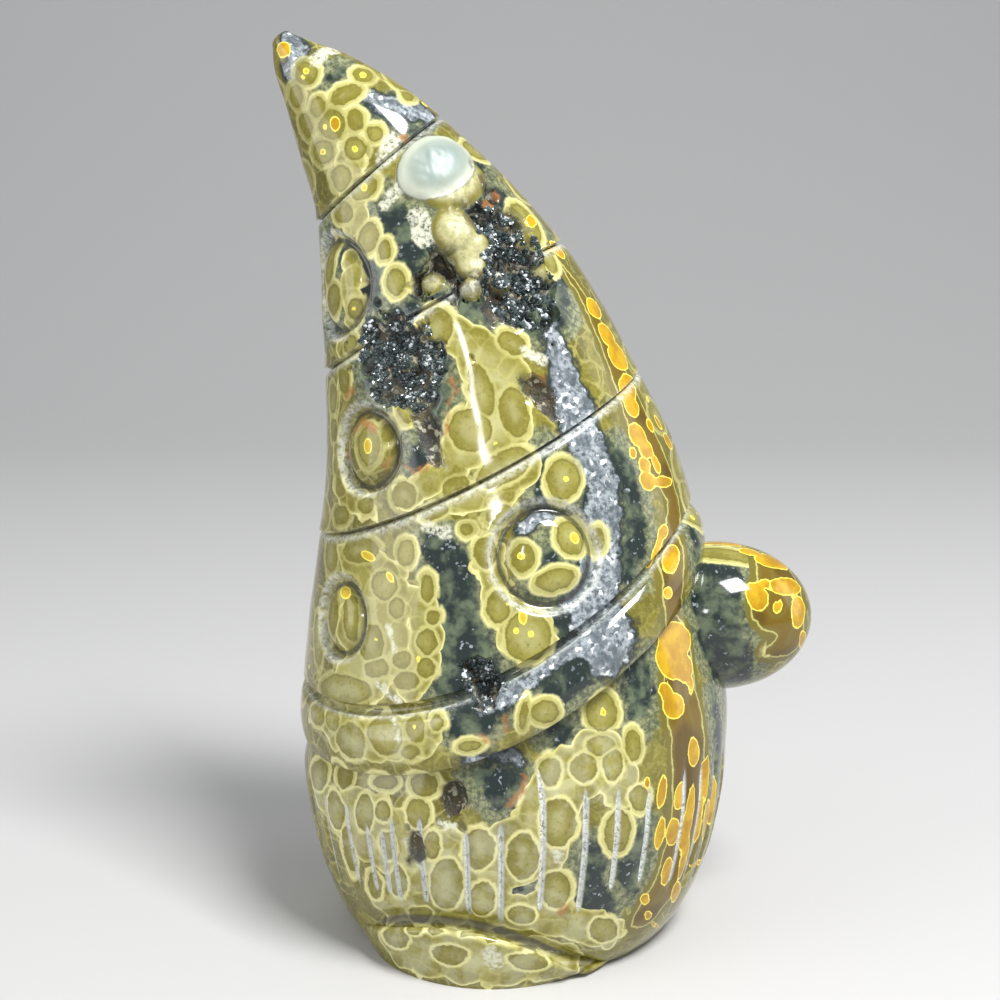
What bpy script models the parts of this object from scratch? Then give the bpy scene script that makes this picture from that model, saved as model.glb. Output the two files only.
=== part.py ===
"""A folk gnome carved from one piece of ocean jasper, with a tall hat that leans back.

The gnome faces +X, so its hat leans towards -X, and it stands on a flat base at Z = 0.
The carving is one solid.  Four of its natural hollows are lined with quartz crystals,
and each lining is a crust of its own, a hair's breadth clear of the stone it grew on.
All sizes below are millimetres, and MM turns them into metres.
"""
import math
import random
from collections import namedtuple

import bmesh
import bpy
from mathutils import Matrix, Vector

MM = 0.001
CRUST_GAP = 0.5
SEED = 7

# A ring is one section through the figure.  It is tilted, so it is given by its back end
# (left) and its front end (right), its half width across, and how far its two sides
# droop below the straight line between the ends.
Ring = namedtuple("Ring", "back_x back_z front_x front_z half_width droop")

BODY = (
    Ring(-28.6, 0.0, 32.8, 0.0, 29.6, 0.0),
    Ring(-30.8, 1.2, 35.2, 1.2, 31.4, 0.0),
    Ring(-33.8, 6.0, 39.0, 6.0, 33.8, 0.0),
    Ring(-36.9, 14.0, 42.6, 14.0, 36.2, 0.0),
    Ring(-39.0, 23.0, 45.2, 24.5, 38.0, 0.5),
    Ring(-40.3, 32.0, 46.6, 37.0, 39.3, 2.5),
    Ring(-40.1, 38.0, 45.8, 54.0, 39.4, 5.5),
    Ring(-38.9, 42.5, 40.2, 76.0, 37.8, 8.6),
    Ring(-35.0, 48.0, 35.0, 80.0, 34.0, 8.6),
)
BRIM = (
    Ring(-36.4, 43.6, 37.4, 76.8, 35.6, 8.8),
    Ring(-39.9, 41.0, 40.8, 77.2, 40.2, 9.2),
    Ring(-40.9, 43.6, 41.3, 81.6, 41.0, 9.3),
    Ring(-41.0, 47.5, 40.4, 85.4, 40.5, 9.3),
    Ring(-40.6, 50.3, 38.8, 87.6, 39.2, 9.1),
    Ring(-39.8, 51.4, 37.5, 88.3, 37.8, 8.9),
    Ring(-39.3, 52.3, 37.2, 89.1, 36.9, 8.8),
)
HAT = (
    Ring(-40.2, 53.6, 38.2, 90.4, 37.8, 8.5),
    Ring(-38.6, 67.5, 34.2, 102.0, 34.2, 5.0),
    Ring(-36.2, 83.2, 27.2, 115.2, 29.4, 1.6),
    Ring(-34.7, 99.0, 20.2, 128.2, 25.4, -1.0),
    Ring(-34.7, 115.4, 11.8, 140.6, 21.6, -2.6),
    Ring(-35.2, 130.0, 0.8, 153.0, 17.4, -1.6),
    Ring(-35.6, 144.3, -11.6, 164.2, 12.8, -0.2),
    Ring(-38.6, 156.0, -19.6, 170.4, 9.6, 0.0),
    Ring(-41.2, 166.0, -29.2, 175.8, 6.4, 0.0),
    Ring(-43.2, 172.6, -35.4, 178.0, 4.2, 0.0),
    Ring(-43.5, 177.0, -40.2, 179.8, 2.4, 0.0),
)
TIP = Vector((-42.0, 0.0, 180.0))

# Heights of the rows of faces, counted in rings from the first of each list.
BODY_ROWS = (0.0, 1.0, 2.2, 3.0, 4.0, 5.2, 6.4, 7.0, 8.0)
BRIM_ROWS = (0.0, 1.0, 2.0, 3.0, 4.0, 5.0, 6.0)
HAT_ROWS = (0.0, 0.7, 1.35, 2.6, 3.3, 4.6, 5.2, 6.7, 7.6, 8.6, 9.5, 10.0)
HAT_COLUMNS = 46

# The hat is wound in three turns, parted by cut lines that run right round it.
HAT_FOLDS = (2.0, 4.0, 6.0)
FOLD_DEPTH = 1.3
FOLD_HALF_HEIGHT = 0.085

# The beard's strands are parted by V cuts, cut by hand at uneven angles.  Each is
# given in degrees from the nose, and both sides of the figure have the same cuts.
BEARD_CUTS = (
    5.0, 15.5, 25.5, 32.5, 43.0, 55.5, 64.5, 73.8, 84.8, 94.0, 102.8, 115.0,
    122.8, 128.2, 134.2, 141.0, 151.5, 162.0, 173.5,
)
BEARD_CUT_DEPTH = 1.1
BEARD_CUT_HALF_WIDTH = 1.0
BEARD_CUT_LOW = 2.5
BEARD_CUT_HIGH = 6.0

NOSE_CENTRE = Vector((44.0, 0.0, 64.7))
NOSE_RADIUS = 15.1
NOSE_HALF_LENGTH = 19.6

FOOT_CENTRE_X = -1.6
FOOT_CENTRE_Y = 9.8
FOOT_SOLE_RADIUS = 25.2
FOOT_TOP_RADIUS = 27.0
FOOT_HEIGHT = 12.6
FOOT_CREST_X = -9.0
FOOT_CREST_FALL = 0.018
FOOT_BEVEL = 1.0

# A site is a place on the hat or the body: the ring list's name, how many rings up it,
# and the angle from the nose, negative on the figure's right side.
Site = namedtuple("Site", "loft height angle")
Disc = namedtuple("Disc", "site radius")
MOAT_HALF_WIDTH = 1.2
DISCS = (
    Disc(Site("hat", 2.87, -132.2), 6.9),
    Disc(Site("hat", 0.97, -73.2), 8.6),
    Disc(Site("hat", 1.03, -143.0), 6.6),
    Disc(Site("hat", 4.98, -145.0), 8.4),
    Disc(Site("hat", 1.30, 66.0), 8.2),
    Disc(Site("hat", 2.75, 118.0), 7.0),
    Disc(Site("hat", 0.95, 137.0), 6.4),
)

# A pocket is a natural hollow: half its width, half its height and its depth.
Pocket = namedtuple("Pocket", "site half_width half_height depth turn")
HAT_VUG = Pocket(Site("hat", 3.95, -52.5), 6.4, 11.5, 6.5, -8.0)
HAT_VUG_SHOULDER = Pocket(Site("hat", 4.72, -58.0), 3.0, 6.0, 4.6, 10.0)
HAT_VUG_LEFT = Pocket(Site("hat", 4.35, -82.0), 7.0, 3.4, 4.4, 14.0)
SIDE_VUG = Pocket(Site("hat", 3.62, -112.0), 7.6, 9.4, 3.4, 0.0)
SIDE_VUG_TAIL = Pocket(Site("hat", 2.78, -104.5), 2.4, 7.4, 2.0, -6.0)
BRIM_VUG = Pocket(Site("hat", 0.05, -93.6), 3.4, 5.0, 4.2, 8.0)
RUST_POCKET = Pocket(Site("hat", 2.52, -63.4), 2.5, 4.9, 2.2, 6.0)
BEARD_POCKET = Pocket(Site("body", 6.10, -105.8), 2.6, 4.6, 3.2, -10.0)
BEARD_NICK = Pocket(Site("body", 4.64, -116.0), 2.2, 4.0, 2.0, 0.0)
BACK_VUG = Pocket(Site("hat", 3.10, 84.0), 5.4, 8.2, 3.6, 12.0)
KNOB_GAP = Pocket(Site("hat", 5.10, -39.0), 1.5, 6.4, 3.2, -6.0)
POCKETS = (
    HAT_VUG, HAT_VUG_SHOULDER, HAT_VUG_LEFT, SIDE_VUG, SIDE_VUG_TAIL, BRIM_VUG,
    RUST_POCKET, BEARD_POCKET, BEARD_NICK, BACK_VUG, KNOB_GAP,
)

# A lump is a rounded knob of the stone: its radii, and how deep its centre sits.
Lump = namedtuple("Lump", "site half_width half_height radius sunk")
LUMPS = (
    Lump(Site("hat", 5.48, -55.0), 7.4, 6.2, 5.0, 3.2),
    Lump(Site("hat", 4.42, -72.0), 3.9, 4.6, 4.0, 2.4),
    Lump(Site("hat", 3.92, -76.0), 2.4, 2.5, 3.0, 2.4),
    Lump(Site("hat", 4.22, -90.0), 2.6, 2.4, 3.0, 2.6),
    Lump(Site("hat", 3.55, -110.0), 1.9, 1.9, 2.2, 2.4),
)

# A crust lines one pocket: its node's name, how far its rim lies below the surface, how
# thick its bed is, and how tall its crystals stand.
Crust = namedtuple("Crust", "name pocket rim thickness crystal")
CRUSTS = (
    Crust("hat_vug_crust", HAT_VUG, 1.7, 1.0, 1.5),
    Crust("side_vug_crust", SIDE_VUG, 1.2, 0.8, 0.9),
    Crust("brim_vug_crust", BRIM_VUG, 1.1, 0.8, 1.1),
    Crust("back_vug_crust", BACK_VUG, 1.2, 0.8, 1.0),
)

LOFTS = {"body": BODY, "hat": HAT}


def clear_scene():
    """Remove whatever the file already holds."""
    for item in list(bpy.data.objects):
        bpy.data.objects.remove(item, do_unlink=True)


def blend_rings(rings, height):
    """Return the ring at a fractional height on the smooth curve through the list."""
    last = len(rings) - 1
    low = max(0, min(int(height), last - 1))
    step = height - low
    before = rings[max(low - 1, 0)]
    start = rings[low]
    end = rings[low + 1]
    after = rings[min(low + 2, last)]
    values = []
    for a, b, c, d in zip(before, start, end, after):
        slope_in = c - a
        bend = 2.0 * a - 5.0 * b + 4.0 * c - d
        twist = 3.0 * b - a - 3.0 * c + d
        values.append(b + 0.5 * (slope_in * step + bend * step ** 2 + twist * step ** 3))
    return Ring(*values)


def point_on_ring(ring, angle, inset=0.0):
    """Return the point of a ring at an angle from the front, set in towards its middle."""
    half_length = (ring.front_x - ring.back_x) / 2.0
    half_rise = (ring.front_z - ring.back_z) / 2.0
    middle = Vector((ring.back_x + half_length, 0.0, ring.back_z + half_rise))
    side = math.sin(angle)
    reach = Vector((
        half_length * math.cos(angle),
        ring.half_width * side,
        half_rise * math.cos(angle) - ring.droop * side ** 2,
    ))
    return middle + reach * (1.0 - inset / reach.length)


def surface(loft, height, angle):
    """Return the point of a loft at a height in rings and an angle in radians."""
    return point_on_ring(blend_rings(LOFTS[loft], height), angle)


def wrap(site, across, up, out):
    """Return the point that lies across, up and out from a site, following the surface."""
    angle = math.radians(site.angle)
    nudge = 0.02
    start = surface(site.loft, site.height, angle)
    per_ring = (surface(site.loft, site.height + nudge, angle) - start) / nudge
    per_radian = (surface(site.loft, site.height, angle + nudge) - start) / nudge
    outward = per_radian.cross(per_ring).normalized()
    level = per_radian.normalized()
    steep = outward.cross(level)
    rings = up / per_ring.dot(steep)
    radians = (across - rings * per_ring.dot(level)) / per_radian.length
    foot = surface(site.loft, site.height + rings, angle + radians)
    beside = surface(site.loft, site.height + rings, angle + radians + nudge) - foot
    above = surface(site.loft, site.height + rings + nudge, angle + radians) - foot
    return foot + beside.cross(above).normalized() * out


def new_object(name, mesh_builder, material=None):
    """Turn a bmesh in millimetres into an object in metres."""
    bmesh.ops.transform(mesh_builder, matrix=Matrix.Scale(MM, 4), verts=mesh_builder.verts)
    bmesh.ops.recalc_face_normals(mesh_builder, faces=mesh_builder.faces)
    bmesh.ops.triangulate(mesh_builder, faces=mesh_builder.faces)
    mesh = bpy.data.meshes.new(name)
    mesh_builder.to_mesh(mesh)
    mesh_builder.free()
    item = bpy.data.objects.new(name, mesh)
    bpy.context.scene.collection.objects.link(item)
    if material is not None:
        mesh.materials.append(material)
    return item


def combine(target, tool, operation):
    """Join a helper to the target, or cut it away, and keep the helper out of the model."""
    tool.hide_render = True
    tool.display_type = "WIRE"
    step = target.modifiers.new(tool.name, "BOOLEAN")
    step.operation = operation
    step.object = tool
    step.solver = "EXACT"


def loft_rings(rows):
    """Skin a list of rows, each a list of points, from the first row to the last."""
    builder = bmesh.new()
    order = builder.verts.layers.int.new("column")
    columns = len(rows[0])
    bmesh.ops.create_circle(builder, cap_ends=False, segments=columns, radius=1.0)
    builder.verts.ensure_lookup_table()
    for column, vert in enumerate(builder.verts):
        vert[order] = column
        vert.co = rows[0][column]
    first = list(builder.edges)
    edges = first
    for row in rows[1:]:
        grown = bmesh.ops.extrude_edge_only(builder, edges=edges)["geom"]
        for vert in (item for item in grown if isinstance(item, bmesh.types.BMVert)):
            vert.co = row[vert[order]]
        fresh = {item for item in grown if isinstance(item, bmesh.types.BMVert)}
        edges = [
            item for item in grown
            if isinstance(item, bmesh.types.BMEdge) and all(v in fresh for v in item.verts)
        ]
    return builder, first, edges


def close_flat(builder, edges):
    """Close a rim with one flat face."""
    bmesh.ops.contextual_create(builder, geom=edges)


def close_to_point(builder, edges, point):
    """Close a rim with a fan of faces that meet at a point."""
    grown = bmesh.ops.extrude_edge_only(builder, edges=edges)["geom"]
    verts = [item for item in grown if isinstance(item, bmesh.types.BMVert)]
    bmesh.ops.pointmerge(builder, verts=verts, merge_co=point)


def beard_columns():
    """Return each column's angle and the share of the cut's depth that it takes."""
    columns = []
    middle_width = (BODY[4].front_x - BODY[4].back_x) / 2.0
    half = math.degrees(BEARD_CUT_HALF_WIDTH / middle_width)
    for side in (-1.0, 1.0):
        for cut in BEARD_CUTS:
            for shift, share in ((-half, 0.0), (0.0, 1.0), (half, 0.0)):
                columns.append((math.radians(side * cut + shift), share))
    return sorted(columns)


def cut_share(height):
    """Return how much of a beard cut's depth is reached at a height in rings."""
    return 1.0 if BEARD_CUT_LOW < height < BEARD_CUT_HIGH else 0.0


def make_body(material):
    """Skin the round body, with the V cuts that part the beard's strands."""
    columns = beard_columns()
    rows = []
    for height in BODY_ROWS:
        ring = blend_rings(BODY, height)
        rows.append([
            point_on_ring(ring, angle, BEARD_CUT_DEPTH * share * cut_share(height))
            for angle, share in columns
        ])
    builder, bottom, top = loft_rings(rows)
    close_flat(builder, bottom)
    close_to_point(builder, top, sum(rows[-1], Vector()) / len(columns))
    return new_object("carved_stone", builder, material)


def hat_rows():
    """Return the heights of the hat's rows and how far each is set in by a fold."""
    rows = [(height, 0.0) for height in HAT_ROWS]
    for fold in HAT_FOLDS:
        rows.append((fold - FOLD_HALF_HEIGHT, 0.0))
        rows.append((fold, FOLD_DEPTH))
        rows.append((fold + FOLD_HALF_HEIGHT * 0.4, 0.0))
    return sorted(rows)


def make_hat():
    """Skin the brim and the leaning hat, whose folds are cut as thin ledges."""
    angles = [2.0 * math.pi * step / HAT_COLUMNS for step in range(HAT_COLUMNS)]
    rows = []
    for height in BRIM_ROWS:
        ring = blend_rings(BRIM, height)
        rows.append([point_on_ring(ring, angle) for angle in angles])
    for height, inset in hat_rows():
        ring = blend_rings(HAT, height)
        rows.append([point_on_ring(ring, angle, inset) for angle in angles])
    builder, bottom, top = loft_rings(rows)
    close_to_point(builder, bottom, sum(rows[0], Vector()) / HAT_COLUMNS)
    close_to_point(builder, top, TIP)
    return new_object("hat", builder)


def make_nose():
    """Make the big round nose, longer than it is wide, that stands out under the brim."""
    builder = bmesh.new()
    bmesh.ops.create_uvsphere(builder, u_segments=24, v_segments=12, radius=NOSE_RADIUS)
    stretch = Matrix.Diagonal((1.0, 1.0, NOSE_HALF_LENGTH / NOSE_RADIUS, 1.0))
    lay_down = Matrix.Rotation(math.radians(90.0), 4, "Y")
    place = Matrix.Translation(NOSE_CENTRE)
    bmesh.ops.transform(builder, matrix=place @ lay_down @ stretch, verts=builder.verts)
    return new_object("nose", builder)


def make_foot(name, side):
    """Make one foot: a crescent ledge whose crest falls away to both ends."""
    builder = bmesh.new()
    segments = 40
    bmesh.ops.create_cone(
        builder, cap_ends=True, segments=segments, radius1=FOOT_SOLE_RADIUS,
        radius2=FOOT_TOP_RADIUS, depth=FOOT_HEIGHT,
    )
    centre = Vector((FOOT_CENTRE_X, side * FOOT_CENTRE_Y, FOOT_HEIGHT / 2.0))
    bmesh.ops.translate(builder, vec=centre, verts=builder.verts)
    crest = [vert for vert in builder.verts if vert.co.z > FOOT_HEIGHT / 2.0]
    for vert in crest:
        fall = FOOT_CREST_FALL * (vert.co.x - FOOT_CREST_X) ** 2
        vert.co.z = max(FOOT_HEIGHT - fall, FOOT_BEVEL * 1.5)
    rim = [
        edge for edge in builder.edges
        if all(vert in crest for vert in edge.verts) and len(edge.link_faces) == 2
    ]
    bmesh.ops.bevel(
        builder, geom=rim, offset=FOOT_BEVEL, segments=2, profile=0.5, affect="EDGES",
        material=-1,
    )
    return new_object(name, builder)


def make_moat(name, disc):
    """Make the ring-shaped cutter that leaves a raised disc standing in a moat."""
    builder = bmesh.new()
    bmesh.ops.create_circle(builder, cap_ends=False, segments=6, radius=MOAT_HALF_WIDTH)
    stand = Matrix.Rotation(math.radians(90.0), 4, "X")
    out = Matrix.Translation((disc.radius, 0.0, 0.0))
    bmesh.ops.transform(builder, matrix=out @ stand, verts=builder.verts)
    bmesh.ops.spin(
        builder, geom=builder.edges[:] + builder.verts[:], axis=(0.0, 0.0, 1.0),
        cent=(0.0, 0.0, 0.0), steps=18, angle=math.tau, use_merge=True,
    )
    for vert in builder.verts:
        vert.co = wrap(disc.site, *vert.co)
    return new_object(name, builder)


def make_pocket(name, pocket):
    """Make the rounded cutter of one natural hollow."""
    builder = bmesh.new()
    bmesh.ops.create_icosphere(builder, subdivisions=2, radius=1.0)
    shape_pocket(builder, pocket, 0.0)
    return new_object(name, builder)


def shape_pocket(builder, pocket, margin):
    """Stretch a unit ball to a pocket's size, less a margin, and lay it on the surface."""
    sizes = (
        pocket.half_width - margin, pocket.half_height - margin, pocket.depth - margin, 1.0,
    )
    turn = Matrix.Rotation(math.radians(pocket.turn), 4, "Z")
    bmesh.ops.transform(
        builder, matrix=turn @ Matrix.Diagonal(sizes), verts=builder.verts,
    )
    for vert in builder.verts:
        vert.co = wrap(pocket.site, *vert.co)


def make_lump(name, lump, margin=0.0):
    """Make one rounded knob, part sunk in the stone."""
    builder = bmesh.new()
    bmesh.ops.create_icosphere(builder, subdivisions=2, radius=1.0)
    for vert in builder.verts:
        vert.co = wrap(
            lump.site,
            vert.co.x * (lump.half_width + margin),
            vert.co.y * (lump.half_height + margin),
            vert.co.z * (lump.radius + margin) - lump.sunk,
        )
    return new_object(name, builder)


def make_crust(crust, material, draw):
    """Make a crust: a bowl that lines the pocket, with a point on each of its faces."""
    pocket = crust.pocket
    builder = bmesh.new()
    bmesh.ops.create_icosphere(builder, subdivisions=2, radius=1.0)
    rim_height = -crust.rim / pocket.depth
    bmesh.ops.bisect_plane(
        builder, geom=builder.verts[:] + builder.edges[:] + builder.faces[:],
        plane_co=(0.0, 0.0, rim_height), plane_no=(0.0, 0.0, 1.0), clear_outer=True,
    )
    bowl = list(builder.faces)
    grown = bmesh.ops.extrude_face_region(builder, geom=bowl)["geom"]
    inner_verts = [item for item in grown if isinstance(item, bmesh.types.BMVert)]
    inner_faces = [item for item in grown if isinstance(item, bmesh.types.BMFace)]
    shrink = 1.0 - crust.thickness / pocket.depth
    slim = 1.0 - crust.thickness / pocket.half_width
    for vert in inner_verts:
        vert.co.x *= slim
        vert.co.y *= slim
        vert.co.z = rim_height + (vert.co.z - rim_height) * shrink
    bmesh.ops.recalc_face_normals(builder, faces=builder.faces)
    for face in inner_faces:
        height = crust.crystal * (0.35 + 0.65 * draw.random()) / pocket.half_width
        bmesh.ops.poke(builder, faces=[face], offset=height)
    shape_pocket(builder, pocket, CRUST_GAP)
    return new_object(crust.name, builder, material)


def make_material(name, colour, roughness):
    """Make a plain stone finish."""
    material = bpy.data.materials.new(name)
    material.use_nodes = True
    shader = material.node_tree.nodes["Principled BSDF"]
    shader.inputs["Base Color"].default_value = (*colour, 1.0)
    shader.inputs["Roughness"].default_value = roughness
    shader.inputs["Metallic"].default_value = 0.0
    material.diffuse_color = (*colour, 1.0)
    return material


def main():
    """Build the carving and its crusts."""
    clear_scene()
    jasper = make_material("polished_jasper", (0.25, 0.24, 0.08), 0.14)
    druse = make_material("quartz_druse", (0.10, 0.12, 0.12), 0.35)
    draw = random.Random(SEED)

    stone = make_body(jasper)
    combine(stone, make_hat(), "UNION")
    combine(stone, make_nose(), "UNION")
    combine(stone, make_foot("right_foot", -1.0), "UNION")
    combine(stone, make_foot("left_foot", 1.0), "UNION")
    for number, pocket in enumerate(POCKETS):
        combine(stone, make_pocket(f"pocket_{number}", pocket), "DIFFERENCE")
    for number, disc in enumerate(DISCS):
        combine(stone, make_moat(f"moat_{number}", disc), "DIFFERENCE")
    for number, lump in enumerate(LUMPS):
        combine(stone, make_lump(f"lump_{number}", lump), "UNION")

    for crust in CRUSTS:
        lining = make_crust(crust, druse, draw)
        for number, lump in enumerate(LUMPS):
            clear = make_lump(f"{crust.name}_clear_{number}", lump, CRUST_GAP)
            combine(lining, clear, "DIFFERENCE")


main()
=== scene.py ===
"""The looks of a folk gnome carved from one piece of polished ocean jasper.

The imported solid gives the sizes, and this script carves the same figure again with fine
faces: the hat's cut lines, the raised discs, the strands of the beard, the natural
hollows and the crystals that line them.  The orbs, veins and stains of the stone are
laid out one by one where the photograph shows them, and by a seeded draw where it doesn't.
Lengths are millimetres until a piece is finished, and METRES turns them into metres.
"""
from __future__ import annotations

import logging
import math
import random
from dataclasses import dataclass, field
from enum import Enum
from functools import cached_property, partial, reduce
from typing import Iterable, Sequence, Union

import bmesh
import bpy
import numpy as np
from mathutils import Matrix, Vector, noise
from mathutils.bvhtree import BVHTree

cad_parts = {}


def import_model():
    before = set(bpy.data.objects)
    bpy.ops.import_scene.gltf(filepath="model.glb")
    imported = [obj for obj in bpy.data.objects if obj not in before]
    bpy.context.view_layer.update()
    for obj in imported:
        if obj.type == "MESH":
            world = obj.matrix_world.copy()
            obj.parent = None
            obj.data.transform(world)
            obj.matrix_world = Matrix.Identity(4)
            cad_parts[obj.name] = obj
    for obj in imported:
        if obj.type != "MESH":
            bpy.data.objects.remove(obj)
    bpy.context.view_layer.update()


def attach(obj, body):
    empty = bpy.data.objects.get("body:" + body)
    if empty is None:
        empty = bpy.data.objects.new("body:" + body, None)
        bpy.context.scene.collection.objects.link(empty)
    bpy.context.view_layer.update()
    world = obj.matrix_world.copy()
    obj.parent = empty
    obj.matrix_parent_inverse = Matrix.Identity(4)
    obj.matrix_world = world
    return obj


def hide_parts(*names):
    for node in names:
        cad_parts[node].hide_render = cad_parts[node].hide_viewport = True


LOG = logging.getLogger("jasper_gnome")
METRES = 0.001
MILLIMETRES = 1000.0
FULL_TURN = 2.0 * math.pi
FAR_AWAY = 40.0
TINY = 1e-6
STIR_SIZE = 3.4
STIR_REACH = 1.3
QUARTZ_IOR = 1.54

Direction = Union[np.ndarray, Vector]


class Finish(Enum):
    """The record's material slots that the pieces take their finish from."""

    JASPER = "polished_jasper"
    DRUSE = "quartz_druse"


class Layer(Enum):
    """The point attributes that the stone's finish reads.

    The first four hold three distances in millimetres, below zero inside a mark, and the
    last two hold three shares from 0 to 1, of which the tool marks' also paints a sheen and
    is below zero where painted shade lies.
    """

    ORBS = "orbs"
    DETAILS = "details"
    ZONES = "zones"
    STAINS = "stains"
    CARVING = "carving"
    KNOBS = "knobs"


class Zone(Enum):
    """The kinds of coloured area, each with its layer and its place in that layer."""

    QUARTZ = (Layer.ZONES, 0)
    STRIP = (Layer.ZONES, 1)
    OLIVE = (Layer.ZONES, 2)
    PALE = (Layer.STAINS, 0)
    DARK = (Layer.STAINS, 1)
    RUST = (Layer.STAINS, 2)


@dataclass(frozen=True)
class PhotoView:
    """The photograph's camera, in millimetres from the centre of the figure's base."""

    focal_px: float = 1640.0
    distance: float = 325.0
    height: float = 153.3
    horizon_row: float = 174.0
    frame_px: float = 1000.0
    sensor: float = 36.0
    nearest: float = 0.01

    @property
    def pitch(self) -> float:
        """Return how far the camera looks down, in radians."""
        return math.atan((self.frame_px / 2.0 - self.horizon_row) / self.focal_px)

    @property
    def place(self) -> Vector:
        """Return the camera's place."""
        return Vector((0.0, -self.distance, self.height))

    def direction(self, column: float, row: float) -> Vector:
        """Return the direction that a pixel of the photograph looks in.

        Args:
            column: The pixel's column in the 1000 pixel frame.
            row: The pixel's row, from the top.

        Returns:
            A unit vector from the camera into the scene.
        """
        across = (column - self.frame_px / 2.0) / self.focal_px
        up = (self.frame_px / 2.0 - row) / self.focal_px
        ahead = math.cos(self.pitch) + up * math.sin(self.pitch)
        rise = up * math.cos(self.pitch) - math.sin(self.pitch)
        return Vector((across, ahead, rise)).normalized()

    def add_camera(self) -> bpy.types.Object:
        """Add the camera to the scene and return it."""
        data = bpy.data.cameras.new("photo_camera")
        data.sensor_width = self.sensor
        data.sensor_fit = "HORIZONTAL"
        data.lens = self.sensor * self.focal_px / self.frame_px
        data.clip_start = self.nearest
        camera = bpy.data.objects.new("photo_camera", data)
        camera.location = self.place * METRES
        camera.rotation_euler = (math.pi / 2.0 - self.pitch, 0.0, 0.0)
        bpy.context.scene.collection.objects.link(camera)
        bpy.context.scene.camera = camera
        return camera


@dataclass(frozen=True)
class Ring:
    """A tilted section of the figure, given by its two ends, its half width and droop."""

    back_x: float
    back_z: float
    front_x: float
    front_z: float
    half_width: float
    droop: float

    def row(self) -> tuple[float, ...]:
        """Return the ring's numbers in order."""
        return (
            self.back_x, self.back_z, self.front_x, self.front_z, self.half_width,
            self.droop,
        )


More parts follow.
